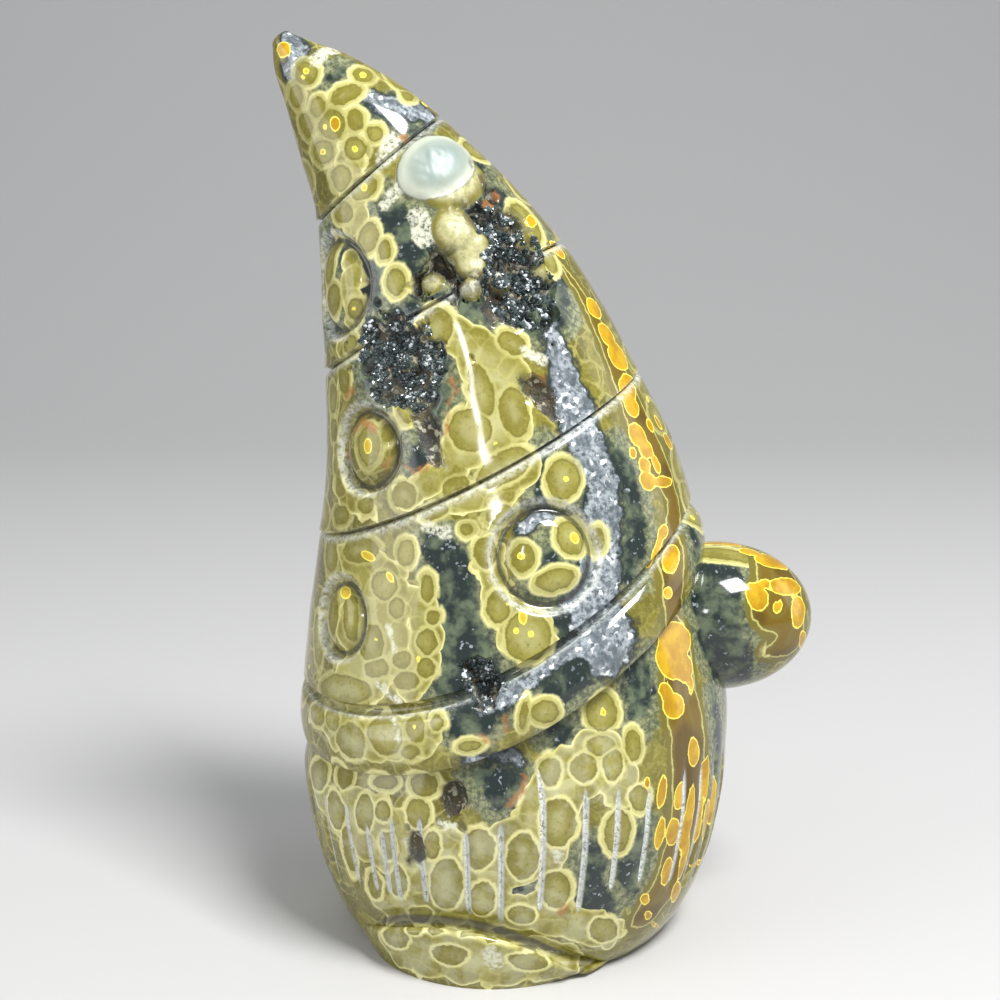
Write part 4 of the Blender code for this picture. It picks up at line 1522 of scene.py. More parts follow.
    def facing(self, surface: BVHTree, spot: Spot) -> tuple[Vector, Vector] | None:
        """Return the place and direction of the stone under a spot.

        Args:
            surface: The carved mesh in millimetres.
            spot: The ellipse in the photograph.

        Returns:
            The place that the spot's middle shows, and the stone's mean direction there,
            or nothing where the spot misses the stone.
        """
        middle, _ = self.hit(surface, spot.column, spot.row)
        if middle is None:
            return None
        mean = Vector()
        wide = max(spot.half_width, self.smallest_probe)
        tall = max(spot.half_height, self.smallest_probe)
        for step in range(self.probes + 1):
            turn = FULL_TURN * step / self.probes
            reach = 0.0 if step == self.probes else self.probe_share
            place, normal = self.hit(
                surface, spot.column + wide * reach * math.cos(turn),
                spot.row + tall * reach * math.sin(turn),
            )
            if place is not None and (place - middle).length < self.probe_limit:
                mean += normal
        return middle, mean.normalized()

    def project(self, surface: BVHTree, spot: Spot) -> Footprint | None:
        """Lay a spot of the photograph on the stone.

        Args:
            surface: The carved mesh in millimetres.
            spot: The ellipse in the photograph.

        Returns:
            The spot on the stone, or nothing where it misses the stone.
        """
        found = self.facing(surface, spot)
        if found is None:
            return None
        middle, outward = found
        depth = (middle - self.view.place).length
        spin = math.radians(spot.turn)
        steps = (
            (math.cos(spin) * spot.half_width, math.sin(spin) * spot.half_width),
            (-math.sin(spin) * spot.half_height, math.cos(spin) * spot.half_height),
        )
        arms = []
        for step_column, step_row in steps:
            ray = self.view.direction(spot.column + step_column, spot.row + step_row)
            slope = min(ray.dot(outward), self.grazing)
            reach = (middle - self.view.place).dot(outward) / slope
            reach = min(max(reach, depth - self.depth_limit), depth + self.depth_limit)
            arm = self.view.place + ray * reach - middle
            arm -= outward * arm.dot(outward)
            frontal = math.hypot(step_column, step_row) * depth / self.view.focal_px
            arms.append(arm * min(1.0, self.most_stretch * frontal / max(arm.length, TINY)))
        return self.footprint(middle, outward, arms[0], arms[1])

    def footprint(
        self, middle: Vector, outward: Vector, first: Vector, second: Vector
    ) -> Footprint:
        """Return the footprint whose two half axes come from a pair of skewed arms.

        Args:
            middle: The footprint's middle.
            outward: The stone's direction there.
            first: The arm to one side.
            second: The arm up or down.

        Returns:
            The ellipse that the two arms span.
        """
        across = first.normalized()
        side = outward.cross(across)
        arms = np.array([
            [first.dot(across), second.dot(across)], [first.dot(side), second.dot(side)],
        ])
        turns, sizes, _ = np.linalg.svd(arms)
        level, steep = (
            np.array(across) * turns[0, axis] + np.array(side) * turns[1, axis]
            for axis in range(2)
        )
        wide, tall = (max(float(size), self.smallest_mark) for size in sizes)
        return Footprint(np.array(middle), level, steep, np.array(outward), wide, tall)

    def hidden_footprint(self, draw: random.Random, size: float) -> Footprint:
        """Draw one rounded spot on the hidden side.

        Args:
            draw: The seeded source of its place and shape.
            size: Its mean half size in millimetres.

        Returns:
            The spot on the stone.
        """
        middle, level, steep, outward = self.stone.frame_at(self.hidden.site(draw))
        stretch = draw.uniform(*self.hidden.stretches)
        across, up = turned(level, steep, draw.uniform(0.0, math.pi))
        return Footprint(middle, across, up, outward, size * stretch, size / stretch)

    def lay(self, mesh: bpy.types.Mesh, surface: BVHTree) -> None:
        """Write the stone's markings into the mesh's point attributes.

        Args:
            mesh: The carved mesh in millimetres.
            surface: The same mesh for ray casts.
        """
        draw = random.Random(self.seed)
        places = coordinates(mesh)
        orbs = self.lay_orbs(places, surface, draw)
        details = np.full((len(places), 3), FAR_AWAY)
        details[:, 0] = orbs[:, 3]
        self.lay_spots(details, 1, places, self.found(surface, self.yolks))
        self.lay_spots(details, 2, places, self.found(surface, self.ambers))
        self.lay_hidden_details(details, places, draw)
        layers = {
            layer: np.full((len(places), 3), FAR_AWAY) for layer in (Layer.ZONES, Layer.STAINS)
        }
        tracks = [
            (zone, self.track(surface, line))
            for zone, lines in self.lines.items() for line in lines
        ]
        for zone, stops in self.hidden_lines:
            track = [(self.stone.frame_at(stop.site)[0], stop.half_width) for stop in stops]
            tracks.append((zone, track))
        for zone, track in tracks:
            layer, slot = zone.value
            away = self.along(places, track)
            layers[layer][:, slot] = np.minimum(layers[layer][:, slot], away)
        layers.update({Layer.ORBS: orbs[:, :3], Layer.DETAILS: details})
        for layer, values in layers.items():
            write_layer(mesh, layer, values)

    def found(self, surface: BVHTree, spots: Iterable[Spot]) -> list[Footprint]:
        """Return the footprints of the spots that meet the stone."""
        prints = [self.project(surface, spot) for spot in spots]
        return [item for item in prints if item is not None]

    def lay_spots(
        self, fields: np.ndarray, slot: int, places: np.ndarray, prints: Iterable[Footprint]
    ) -> None:
        """Lower a field to the distance from each spot, near it.

        Args:
            fields: The fields, one vertex a row.
            slot: Which of them is lowered.
            places: The mesh's vertices in millimetres.
            prints: The spots.
        """
        for item in prints:
            near = np.abs(places - item.middle).max(axis=1) < item.reach
            away = item.distances(places[near])
            fields[near, slot] = np.minimum(fields[near, slot], away)

    def lay_orbs(
        self, places: np.ndarray, surface: BVHTree, draw: random.Random
    ) -> np.ndarray:
        """Share the orbs among classes, so that neighbours are told apart.

        Args:
            places: The mesh's vertices in millimetres.
            surface: The carved mesh for ray casts.
            draw: The seeded source of the hidden side's orbs.

        Returns:
            The distance from the nearest orb of each class, one vertex a row.
        """
        prints = self.found(surface, self.orbs)
        for _ in range(self.hidden.orbs):
            item = self.hidden_footprint(draw, draw.uniform(*self.hidden.orb_sizes))
            gaps = [
                np.linalg.norm(item.middle - other.middle)
                - self.orb_gap * (item.half_width + other.half_width)
                for other in prints
            ]
            if min(gaps) > 0.0:
                prints.append(item)
        classes: list[list[Footprint]] = [[] for _ in range(self.orb_classes)]
        for item in prints:
            room = [
                min([np.linalg.norm(item.middle - other.middle) - other.half_width
                     for other in members], default=FAR_AWAY)
                for members in classes
            ]
            classes[int(np.argmax(room))].append(item)
        fields = np.full((len(places), self.orb_classes), FAR_AWAY)
        for slot, members in enumerate(classes):
            self.lay_spots(fields, slot, places, members)
        LOG.info("orbs: %s", ", ".join(str(len(members)) for members in classes))
        return fields

    def lay_hidden_details(
        self, details: np.ndarray, places: np.ndarray, draw: random.Random
    ) -> None:
        """Lay the hidden side's yolks and amber blobs.

        Args:
            details: The fields of the details, one vertex a row.
            places: The mesh's vertices in millimetres.
            draw: The seeded source of the marks.
        """
        hidden = self.hidden
        yolks = [
            self.hidden_footprint(draw, draw.uniform(*hidden.yolk_sizes))
            for _ in range(hidden.yolks)
        ]
        self.lay_spots(details, 1, places, yolks)
        ambers = []
        for _ in range(hidden.ambers):
            frame = self.stone.frame_at(hidden.amber_site(draw))
            size = draw.uniform(*hidden.amber_sizes)
            ambers.append(
                Footprint(*frame, size * hidden.amber_width, size * hidden.amber_height)
            )
        self.lay_spots(details, 2, places, ambers)

    def track(self, surface: BVHTree, line: Line) -> list[tuple[np.ndarray, float]]:
        """Return a line's points on the stone, each with its half width in millimetres."""
        found = []
        for column, row, half in line:
            place, _ = self.hit(surface, column, row)
            if place is not None:
                width = half * (place - self.view.place).length / self.view.focal_px
                found.append((np.array(place), width))
        return found

    @staticmethod
    def along(places: np.ndarray, track: Sequence[tuple[np.ndarray, float]]) -> np.ndarray:
        """Return how far places lie outside a track, or below zero how far inside.

        Args:
            places: Points in millimetres, one a row.
            track: Points along a line, each with the track's half width there.

        Returns:
            The signed distances in millimetres.
        """
        found = np.full(len(places), FAR_AWAY)
        legs = list(zip(track[:-1], track[1:])) or [(spot, spot) for spot in track]
        for (start, width), (stop, next_width) in legs:
            run = stop - start
            share = np.clip((places - start) @ run / max(float(run @ run), TINY), 0.0, 1.0)
            nearest = start + share[:, None] * run
            gap = np.linalg.norm(places - nearest, axis=1)
            found = np.minimum(found, gap - (width + (next_width - width) * share))
        return found


@dataclass(frozen=True)
class JasperFinish:
    """Polished ocean jasper: olive orbs with cream halos in dark and grey stone."""

    matrix_dark: Rgb = (0.075, 0.09, 0.05)
    matrix_light: Rgb = (0.28, 0.29, 0.15)
    night: Rgb = (0.014, 0.024, 0.022)
    sea: Rgb = (0.12, 0.15, 0.09)
    quartz_low: Rgb = (0.07, 0.09, 0.10)
    quartz_high: Rgb = (0.34, 0.375, 0.395)
    quartz_white: Rgb = (0.86, 0.89, 0.91)
    olive: Rgb = (0.19, 0.167, 0.020)
    olive_pale: Rgb = (0.265, 0.24, 0.048)
    olive_light: Rgb = (0.44, 0.42, 0.20)
    olive_deep: Rgb = (0.12, 0.105, 0.014)
    halo: Rgb = (0.44, 0.41, 0.13)
    cream: Rgb = (0.70, 0.66, 0.29)
    yolk: Rgb = (0.58, 0.40, 0.03)
    amber: Rgb = (0.38, 0.20, 0.002)
    amber_light: Rgb = (0.54, 0.33, 0.008)
    lemon: Rgb = (0.85, 0.72, 0.10)
    strip: Rgb = (0.15, 0.092, 0.004)
    strip_deep: Rgb = (0.075, 0.040, 0.002)
    strip_green: Rgb = (0.15, 0.125, 0.018)
    pale: Rgb = (0.62, 0.62, 0.48)
    rust: Rgb = (0.34, 0.13, 0.03)
    # Pale frost of the cut marks, also used for painted highlights on the bevels and moat walls.
    frost_and_painted_light: Rgb = (0.72, 0.75, 0.71)
    # Near-black painted shade for the moat bottoms, the groove over each foot and the hollows'
    # floors.
    painted_shade: Rgb = (0.028, 0.028, 0.022)
    porcelain: Rgb = (0.27, 0.32, 0.275)
    porcelain_core: Rgb = (0.21, 0.27, 0.24)
    porcelain_rim: Rgb = (0.46, 0.49, 0.39)
    polished: float = 0.10
    rough: float = 0.5
    brushed_and_sheen: float = 0.25
    # Roughness added on the brushed marks and the painted sheen.
    dull: float = 0.32
    bump: float = 0.6
    lobe_size: float = 4.4
    lobe_middle: float = 0.42
    grain_size: float = 0.9
    beard_top: float = 52.0

    def build(self) -> bpy.types.Material:
        """Return the stone's material."""
        weave = Weave("polished_jasper")
        body = self.ground(weave)
        layers = (
            self.lay_quartz, self.lay_cells, self.lay_strip, self.lay_orbs,
            self.lay_ambers, self.lay_stains, self.lay_knobs,
        )
        for lay in layers:
            body = lay(weave, body)
        cut, hollow, frost_and_painted_light = weave.layer(Layer.CARVING)
        knob, lump, bevel = weave.layer(Layer.KNOBS)
        scratched = weave.times(weave.step(cut, 0.35, 0.75), weave.step(weave.fine, 0.2, 0.5))
        body = weave.mix(scratched, body, self.frost_and_painted_light, 0.9)
        # Pale frost on the moat walls and along the bevels under the cut lines and the brim: partly
        # tool marks, partly painted highlight.
        brushed_and_sheen = weave.times(weave.most(frost_and_painted_light, bevel), weave.step(weave.fine, 0.25, 0.65))
        body = weave.mix(brushed_and_sheen, body, self.frost_and_painted_light, 0.7)
        # Painted shade: near-black in the moat bottoms and in the groove over each foot.
        body = weave.mix(weave.step(frost_and_painted_light, -0.1, -0.7), body, self.painted_shade, 0.75)
        # Painted shade: the hollows' floors are darkened nearly to black, less on knobs in them.
        shade = weave.step(hollow, 0.02, 0.35)
        weave.dress("Base Color", weave.mix(shade, body, self.pit(weave), 0.9))
        rough = weave.blend(weave.most(scratched, shade), self.polished, self.rough)
        rough = weave.plus(rough, weave.times(brushed_and_sheen, self.brushed_and_sheen))
        knobs = weave.step(weave.most(knob, lump), 0.05, 0.2)
        weave.dress("Roughness", weave.plus(rough, weave.times(knobs, self.dull)))
        weave.dress("IOR", QUARTZ_IOR)
        weave.bump(weave.times(weave.fine, weave.most(shade, scratched)), self.bump)
        return weave.material

    def pit(self, weave: Weave) -> Socket:
        """Return a hollow's floor: near-black painted shade, with brown earth and pale grains."""
        earth = weave.step(weave.ripple, 0.45, 0.6)
        body = weave.mix(earth, self.painted_shade, self.strip_deep, 0.6)
        grains = weave.step(weave.chance(self.grain_size, 4.0), 0.6, 0.8)
        return weave.mix(weave.times(grains, earth), body, self.pale, 0.7)

    def speckled(
        self, weave: Weave, tone: Colour, pale_from: float, dark: Colour, darkness: float
    ) -> Socket:
        """Return a tone with pale and dark grains.

        Args:
            weave: The material's nodes.
            tone: The colour that the grains lie in.
            pale_from: The level of the grains' noise where pale ones start.
            dark: The dark grains' colour.
            darkness: How much of it shows.

        Returns:
            The speckled colour.
        """
        haze = weave.step(weave.fine, pale_from, pale_from + 0.3)
        tone = weave.mix(haze, tone, self.halo, 0.35)
        return weave.mix(weave.step(weave.fine, 0.46, 0.30), tone, dark, darkness)

    def lobes(self, weave: Weave, light: Colour, dark: Colour) -> Socket:
        """Return rounded lobes that touch, each dark in the middle, with thin pale seams."""
        rounds = weave.cells(self.lobe_size).outputs["Distance"]
        seams = weave.cells(self.lobe_size, "DISTANCE_TO_EDGE").outputs["Distance"]
        tone = weave.mix(weave.step(weave.chance(self.lobe_size), 0.15, 0.85), dark, light)
        tone = weave.mix(weave.step(rounds, self.lobe_middle, 0.12), tone, dark)
        tone = self.speckled(weave, tone, 0.45, dark, 0.5)
        patchy = weave.blend(weave.step(weave.broad, 0.35, 0.65), 0.1, 0.6)
        return weave.mix(weave.times(weave.step(seams, 0.09, 0.01), patchy), tone, self.halo)

    def ground(self, weave: Weave) -> Socket:
        """Return the stone between the marks: olive lobes, speckled and dark in places."""
        rough = weave.plus(weave.swing(weave.ripple, 3.6), weave.swing(weave.cloud, 5.0))
        edge = weave.plus(weave.zone(Zone.DARK), rough)
        grey = weave.mix(weave.step(weave.fine, 0.35, 0.7), self.matrix_dark, self.matrix_light)
        body = self.lobes(weave, self.olive, self.olive_deep)
        body = weave.mix(weave.step(edge, 4.2, 2.2), body, grey)
        depth = weave.mix(weave.step(weave.cloud, 0.42, 0.68), self.night, self.sea)
        glint = weave.step(weave.chance(0.5, 3.0), 0.92, 0.99)
        misty = weave.step(weave.cloud, 0.52, 0.40)
        depth = weave.mix(weave.times(glint, misty), depth, self.quartz_high, 0.8)
        return weave.mix(weave.step(edge, 1.0, -0.6), body, depth)

    def lay_cells(self, weave: Weave, body: Colour) -> Socket:
        """Lay the pale olive masses, whose scalloped outlines have a cream edge."""
        rounds = weave.cells(self.lobe_size).outputs["Distance"]
        edge = weave.plus(weave.zone(Zone.OLIVE), weave.swing(rounds, 3.2, self.lobe_middle))
        deep = weave.step(edge, -1.5, -6.0)
        light = weave.mix(deep, self.olive_pale, self.olive_light)
        core = self.lobes(weave, light, weave.mix(deep, self.olive, self.olive_pale))
        core = weave.mix(weave.step(edge, -1.3, -0.5), core, self.halo, 0.8)
        broken = weave.blend(weave.step(weave.cloud, 0.4, 0.6), 0.35, 0.95)
        rim = weave.times(weave.band(edge, -0.24, 0.08, 0.3), broken)
        core = weave.mix(rim, core, self.cream)
        return weave.mix(weave.step(edge, 0.06, -0.06), body, core)

    def lay_quartz(self, weave: Weave, body: Colour) -> Socket:
        """Lay the blue-grey quartz with its white grains."""
        rough = weave.plus(weave.swing(weave.ripple, 4.0), weave.swing(weave.cloud, -5.0))
        edge = weave.plus(weave.zone(Zone.QUARTZ), rough)
        grain = weave.chance(self.grain_size, 4.0)
        tone = weave.mix(weave.step(weave.fine, 0.36, 0.62), self.quartz_low, self.quartz_high)
        tone = weave.mix(weave.step(grain, 0.3, 0.9), tone, self.quartz_high, 0.35)
        tone = weave.mix(weave.step(grain, 0.84, 0.96), tone, self.quartz_white)
        tone = weave.mix(weave.step(weave.cloud, 0.46, 0.62), tone, self.quartz_low, 0.75)
        fringe = weave.mix(weave.step(edge, 2.0, 0.2), body, self.night)
        return weave.mix(weave.step(edge, 0.5, -0.5), fringe, tone)

    def lay_strip(self, weave: Weave, body: Colour) -> Socket:
        """Lay the golden-brown strip that runs down the front."""
        edge = weave.plus(weave.zone(Zone.STRIP), weave.swing(weave.cloud, 2.4))
        wave = weave.step(weave.math("SINE", weave.times(edge, 2.3)), 0.2, 0.95)
        tone = weave.mix(wave, self.strip, self.strip_green, 0.6)
        tone = weave.mix(weave.step(weave.broad, 0.45, 0.65), tone, self.strip_deep, 0.7)
        tone = weave.mix(weave.step(edge, -2.2, -1.2), tone, self.strip_green)
        tone = weave.mix(weave.band(edge, -1.5, 0.08, 0.22), tone, self.halo)
        return weave.mix(weave.step(edge, 0.1, -0.1), body, tone)

    def lay_orbs(self, weave: Weave, body: Colour) -> Socket:
        """Lay the orbs: an olive core, a cream halo, and a bright yolk in some."""
        one, two, three = weave.layer(Layer.ORBS)
        four, yolk, _ = weave.layer(Layer.DETAILS)
        wobble = weave.swing(weave.ripple, 1.5)
        low_pair, high_pair = weave.least(one, two), weave.most(one, two)
        low_other, high_other = weave.least(three, four), weave.most(three, four)
        nearest = weave.least(low_pair, low_other)
        second = weave.least(weave.most(low_pair, low_other), high_pair, high_other)
        edge = weave.plus(nearest, wobble)
        inland = weave.step(weave.zone(Zone.OLIVE), 0.8, -0.8)
        beyond = weave.minus(edge, weave.blend(inland, 1.1, 0.62))
        beard = weave.step(weave.height, self.beard_top, self.beard_top * 0.8)
        crisp = weave.most(weave.blend(inland, 0.9, 0.2), weave.times(beard, 0.9))
        tone = weave.mix(beard, self.halo, self.cream, 0.3)
        tone = weave.mix(weave.times(weave.step(beyond, -0.8, -0.2), crisp), tone, self.cream)
        shown = weave.most(weave.step(weave.zone(Zone.DARK), 6.0, 1.5), beard)
        faint = weave.blend(shown, 0.5, 1.0)
        body = weave.mix(weave.times(weave.step(beyond, 0.35, -0.35), faint), body, tone)
        hue = weave.step(weave.broad, 0.35, 0.65)
        core = weave.mix(hue, self.olive, self.olive_pale)
        core = weave.mix(weave.step(edge, -0.8, -3.0), core, self.olive_light, 0.45)
        rim = weave.times(weave.band(edge, -0.2, 0.05, 0.5), weave.blend(hue, 0.2, 0.6))
        core = weave.mix(rim, core, self.olive_deep)
        core = self.speckled(weave, core, 0.5, self.olive_deep, 0.55)
        parted = weave.step(weave.minus(second, nearest), 0.25, 0.6)
        body = weave.mix(weave.times(weave.step(edge, 0.12, -0.12), parted), body, core)
        yolk = weave.plus(yolk, weave.times(wobble, 0.25))
        body = weave.mix(weave.step(yolk, 0.12, 0.02), body, self.lemon)
        return weave.mix(weave.step(yolk, -0.16, -0.26), body, self.yolk)

    def lay_ambers(self, weave: Weave, body: Colour) -> Socket:
        """Lay the amber blobs, each in a thin lemon line."""
        edge = weave.plus(weave.layer(Layer.DETAILS)[2], weave.swing(weave.ripple, 1.1))
        tone = weave.mix(weave.step(weave.cloud, 0.35, 0.65), self.amber, self.amber_light)
        body = weave.mix(weave.step(edge, 0.30, 0.18), body, self.lemon)
        return weave.mix(weave.step(edge, 0.06, -0.06), body, tone)

    def lay_stains(self, weave: Weave, body: Colour) -> Socket:
        """Lay the pale patches, the mist over the beard's olive, and the rust."""
        stir = weave.swing(weave.ripple, 2.6)
        mottle = weave.step(weave.fine, 0.3, 0.6)
        patch = weave.step(weave.plus(weave.zone(Zone.PALE), stir), 0.3, -0.5)
        body = weave.mix(weave.times(patch, mottle), body, self.pale)
        beard = weave.step(weave.height, self.beard_top * 1.3, self.beard_top * 0.9)
        olive = weave.step(weave.zone(Zone.OLIVE), 0.6, -0.6)
        mist = weave.times(weave.step(weave.cloud, 0.40, 0.62), weave.times(beard, olive))
        body = weave.mix(mist, body, self.pale, 0.24)
        red = weave.step(weave.plus(weave.zone(Zone.RUST), stir), 0.3, -0.7)
        return weave.mix(weave.times(red, weave.blend(mottle, 0.35, 0.85)), body, self.rust)

    def lay_knobs(self, weave: Weave, body: Colour) -> Socket:
        """Lay the pale knob's milky green, and the olive of the small knobs with a painted
        highlight on their tops.
        """
        knob, lump, _ = weave.layer(Layer.KNOBS)
        milk = weave.mix(weave.step(knob, 0.55, 0.9), self.porcelain_rim, self.porcelain)
        milk = weave.mix(weave.step(knob, 0.86, 0.99), milk, self.porcelain_core)
        milk = weave.mix(weave.step(knob, 0.30, 0.05), milk, self.matrix_dark)
        # Painted highlight: the small knobs' olive is paler towards their tops, and fades into the
        # dark stone at their rims.
        olive = weave.mix(weave.step(lump, 0.45, 0.95), self.olive, self.olive_light)
        olive = weave.mix(weave.step(weave.fine, 0.4, 0.7), olive, self.olive_deep, 0.5)
        olive = weave.mix(weave.step(lump, 0.3, 0.05), olive, self.sea)
        body = weave.mix(weave.step(lump, 0.02, 0.2), body, olive)
        return weave.mix(weave.step(knob, 0.02, 0.2), body, milk)


@dataclass(frozen=True)
class QuartzPoint:
    """The six-sided crystal that every druse repeats, one millimetre in radius."""

    sides: int = 6
    foot_radius: float = 0.9
    radius: float = 1.0
    shaft: float = 1.5
    point: float = 1.15

    def build(self) -> bpy.types.Mesh:
        """Return the crystal, standing on its foot."""
        shape = bmesh.new()
        bmesh.ops.create_cone(
            shape, cap_ends=True, segments=self.sides, radius1=self.foot_radius,
            radius2=self.radius, depth=self.shaft,
            matrix=Matrix.Translation((0.0, 0.0, self.shaft / 2.0)),
        )
        cap = max(shape.faces, key=lambda face: face.calc_center_median().z)
        tip = bmesh.ops.poke(shape, faces=[cap], offset=0.0)["verts"][0]
        tip.co.z += self.point
        return mesh_of("quartz_point", shape)


@dataclass(frozen=True)
class Druse:
    """Quartz crystals that grow from the floor of one natural hollow."""

    name: str
    node: str
    pocket: Pocket
    count: int
    smallest: float
    largest: float
    seed: int
    spread: float = 1.1
    lift: float = 9.0
    probe: float = 22.5
    rim_waves: float = 0.4
    rim_depth: float = 0.5
    rim_swing: float = 0.9
    least_depth: float = 0.3
    patch_waves: float = 0.5
    bare_patch: float = -0.12
    rarity: float = 3.0
    patch_swing: float = 0.5
    lengths: tuple[float, float] = (0.7, 1.15)
    flatness: tuple[float, float] = (0.7, 1.0)
    lean: float = 0.42
    sunk: float = 0.9
    shade: float = 0.9
    patch_shade: float = 0.55

    def build(
        self, stone: CarvedStone, surface: BVHTree, crystal: bpy.types.Mesh
    ) -> bpy.types.Object:
        """Grow the crystals on the stone.

        Args:
            stone: The carving, for the hollow's place and directions.
            surface: The carved mesh in millimetres.
            crystal: The crystal that is repeated.

        Returns:
            One object that holds all the crystals, in metres.
        """
        draw = random.Random(self.seed)
        pocket = self.pocket
        centre, level, steep, outward = (Vector(part) for part in stone.frame_at(pocket.site))
        across, up = turned(level, steep, math.radians(pocket.turn))
        shape = bmesh.new()
        for _ in range(self.count):
            turn = draw.uniform(0.0, FULL_TURN)
            reach = math.sqrt(draw.random()) * self.spread
            start = centre + outward * self.lift
            start += across * (pocket.half_width * reach * math.cos(turn))
            start += up * (pocket.half_height * reach * math.sin(turn))
            foot, normal, _, _ = surface.ray_cast(start, -outward, self.probe)
            if foot is not None and self.lines((centre - foot).dot(outward), foot):
                self.grow(shape, crystal, foot, normal, draw)
        bmesh.ops.transform(shape, matrix=Matrix.Scale(METRES, 4), verts=shape.verts)
        item = link_mesh(self.name, mesh_of(self.name, shape))
        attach(item, "root")
        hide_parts(self.node)
        return item

    def lines(self, depth: float, foot: Vector) -> bool:
        """Return whether crystals grow at a place of some depth, past the uneven rim."""
        rim = self.rim_depth + self.rim_swing * noise.noise(foot * self.rim_waves)
        if depth < max(rim, self.least_depth):
            return False
        return noise.noise(foot * self.patch_waves) >= self.bare_patch

    def grow(
        self, shape: bmesh.types.BMesh, crystal: bpy.types.Mesh, foot: Vector,
        normal: Vector, draw: random.Random,
    ) -> None:
        """Add one crystal.

        Args:
            shape: The mesh that the crystal is added to.
            crystal: The crystal that is repeated.
            foot: The place that it grows from.
            normal: The floor's direction there.
            draw: The seeded source of its size, lean and shade.
        """
        patch = noise.noise(foot * self.patch_waves)
        radius = self.smallest + (self.largest - self.smallest) * draw.random() ** self.rarity
        radius *= 1.0 + self.patch_swing * patch
        length = radius * draw.uniform(*self.lengths)
        lean = Vector([draw.gauss(0.0, self.lean) for _ in range(3)])
        turn = (normal + lean).normalized().to_track_quat("Z", "Y").to_matrix().to_4x4()
        spin = Matrix.Rotation(draw.uniform(0.0, FULL_TURN), 4, "Z")
        size = Matrix.Diagonal((radius, radius * draw.uniform(*self.flatness), length, 1.0))
        sunk = Matrix.Translation((0.0, 0.0, -self.sunk))
        copy = crystal.copy()
        copy.transform(Matrix.Translation(foot) @ turn @ spin @ size @ sunk)
        shade = min(max(draw.random() * self.shade + self.patch_shade * patch, 0.0), 1.0)
        tint = copy.attributes.new("tint", "FLOAT", "POINT")
        tint.data.foreach_set("value", [shade] * len(copy.vertices))
        shape.from_mesh(copy)
        bpy.data.meshes.remove(copy)


@dataclass(frozen=True)
class SoftLight:
    """One soft light of the studio, in metres and watts."""

    name: str
    place: tuple[float, float, float]
    width: float
    height: float
    power: float
    aim: tuple[float, float, float] = (0.0, 0.0, 0.09)
    colour: tuple[float, float, float] = (1.0, 1.0, 1.0)

    def build(self) -> None:
        """Add the light, facing the figure."""
        data = bpy.data.lights.new(self.name, "AREA")
        data.shape = "RECTANGLE"
        data.size = self.width
        data.size_y = self.height
        data.energy = self.power
        data.color = self.colour
        light = bpy.data.objects.new(self.name, data)
        light.location = self.place
        aim = Vector(self.aim) - Vector(self.place)
        light.rotation_euler = aim.to_track_quat("-Z", "Y").to_euler()
        bpy.context.scene.collection.objects.link(light)


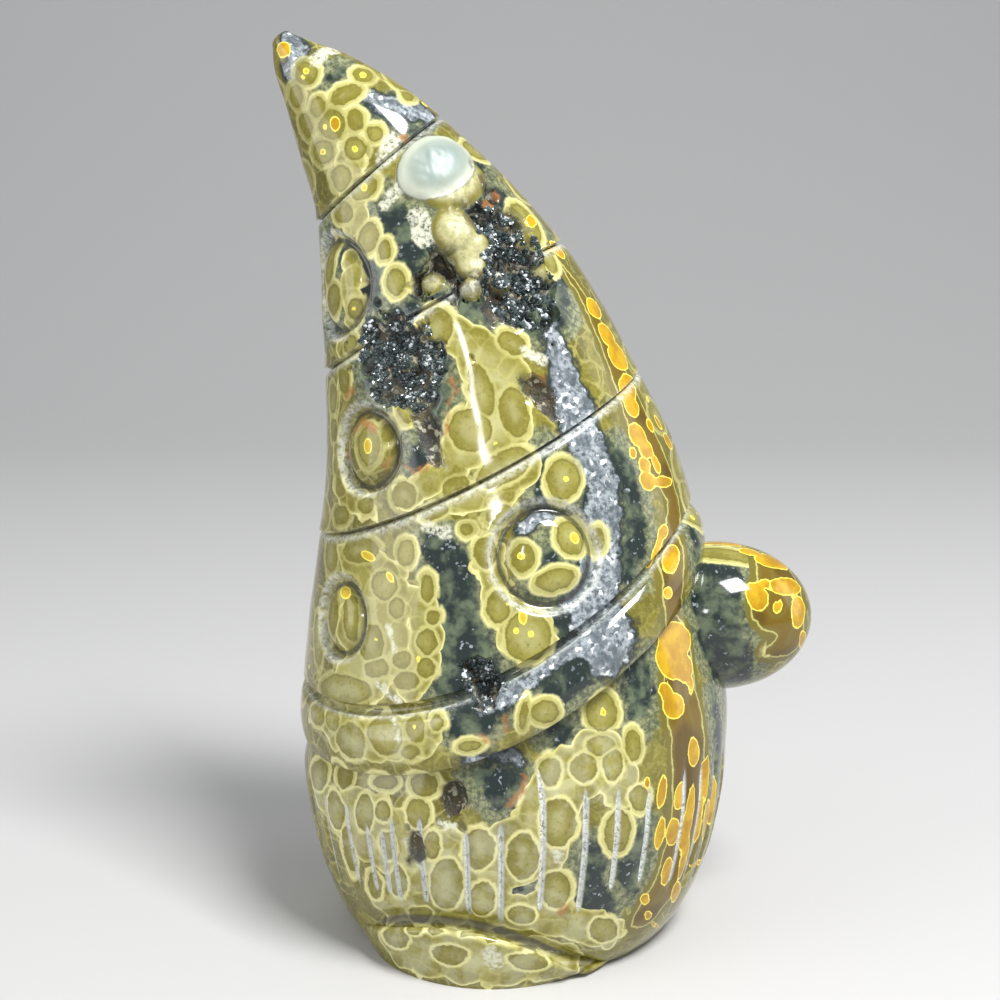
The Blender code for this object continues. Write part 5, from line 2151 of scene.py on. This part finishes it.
@dataclass(frozen=True)
class Studio:
    """A plain pale floor and soft light, which are no part of the figure."""

    half_width: float = 2.6
    wall_distance: float = 1.5
    wall_height: float = 2.4
    sweep: float = 0.9
    sweep_steps: int = 16
    floor_colour: tuple[float, float, float, float] = (0.54, 0.535, 0.53, 1.0)
    floor_roughness: float = 0.6
    sky_colour: tuple[float, float, float, float] = (0.93, 0.96, 1.0, 1.0)
    sky_strength: float = 0.52
    lights: tuple[SoftLight, ...] = (
        SoftLight("overhead_softbox", (0.31, -0.40, 0.84), 0.30, 0.30, 12.5),
        SoftLight("left_softbox", (-0.86, -0.40, 0.30), 0.6, 0.8, 3.6),
        SoftLight("right_softbox", (0.95, 0.10, 0.35), 0.4, 0.7, 1.2),
        SoftLight("window_strip", (-0.10, -0.78, 0.365), 0.05, 0.075, 0.35, (0.0, 0.0, 0.12)),
    )

    def sweep_mesh(self) -> bpy.types.Mesh:
        """Return a floor that curves up into a wall behind the figure."""
        shape = bmesh.new()
        bmesh.ops.create_grid(shape, x_segments=1, y_segments=1, size=self.half_width)
        back = [edge for edge in shape.edges if all(vert.co.y > 0.0 for vert in edge.verts)]
        shift = self.wall_distance - self.half_width
        bmesh.ops.translate(shape, vec=(0.0, shift, 0.0), verts=back[0].verts)
        wall = bmesh.ops.extrude_edge_only(shape, edges=back)["geom"]
        lifted = [item for item in wall if isinstance(item, bmesh.types.BMVert)]
        bmesh.ops.translate(shape, vec=(0.0, 0.0, self.wall_height), verts=lifted)
        bmesh.ops.bevel(
            shape, geom=back, offset=self.sweep, segments=self.sweep_steps, profile=0.5,
            affect="EDGES", material=-1,
        )
        return mesh_of("studio_floor", shape)

    def build(self) -> None:
        """Add the floor, the lights and the world."""
        floor = link_mesh("studio_floor", self.sweep_mesh())
        floor.data.shade_smooth()
        material = bpy.data.materials.new("studio_floor")
        material.use_nodes = True
        shader = material.node_tree.nodes["Principled BSDF"]
        shader.inputs["Base Color"].default_value = self.floor_colour
        shader.inputs["Roughness"].default_value = self.floor_roughness
        floor.data.materials.append(material)
        for light in self.lights:
            light.build()
        world = bpy.data.worlds.new("studio_world")
        world.use_nodes = True
        background = world.node_tree.nodes["Background"]
        background.inputs["Color"].default_value = self.sky_colour
        background.inputs["Strength"].default_value = self.sky_strength
        bpy.context.scene.world = world
        bpy.context.scene.view_settings.view_transform = "Standard"


@dataclass
class JasperGnome:
    """The finished figure: the carved stone and the crystals in its hollows."""

    stone: CarvedStone = field(default_factory=CarvedStone)
    view: PhotoView = field(default_factory=PhotoView)
    sharp_angle: float = 50.0

    def druses(self) -> tuple[Druse, ...]:
        """Return the four crystal linings."""
        stone = self.stone
        return (
            Druse("hat_hollow_crystals", "hat_vug_crust", stone.hat_vug, 5200, 0.12, 0.46, 21),
            Druse("side_hollow_crystals", "side_vug_crust", stone.side_vug, 5200, 0.11, 0.40, 22),
            Druse("brim_hollow_crystals", "brim_vug_crust", stone.brim_vug, 1300, 0.13, 0.44, 23),
            Druse("back_hollow_crystals", "back_vug_crust", stone.back_vug, 3000, 0.12, 0.44, 24),
        )

    def build(self) -> list[bpy.types.Object]:
        """Build and dress every piece.

        Returns:
            The pieces, in the order they were made.
        """
        piece = self.stone.build()
        surface = BVHTree.FromObject(piece, bpy.context.evaluated_depsgraph_get())
        StoneMarks(self.stone, self.view).lay(piece.data, surface)
        piece.data.shade_smooth()
        piece.data.set_sharp_from_angle(angle=math.radians(self.sharp_angle))
        point = QuartzPoint().build()
        pieces = [druse.build(self.stone, surface, point) for druse in self.druses()]
        piece.data.transform(Matrix.Scale(METRES, 4))
        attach(piece, "root")
        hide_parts("carved_stone")
        piece.data.materials.clear()
        piece.data.materials.append(JasperFinish().build())
        crystal = DruseFinish().build()
        for lining in pieces:
            lining.data.materials.append(crystal)
        return [piece] + pieces


def main() -> None:
    """Build the stage and the figure, and keep the sizes."""
    logging.basicConfig(level=logging.INFO, format="%(name)s: %(message)s")
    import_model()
    gnome = JasperGnome()
    gnome.view.add_camera()
    Studio().build()
    for piece in gnome.build():
        piece.data.calc_loop_triangles()
        LOG.info("%s: %d triangles", piece.name, len(piece.data.loop_triangles))


if __name__ == "__main__":
    main()
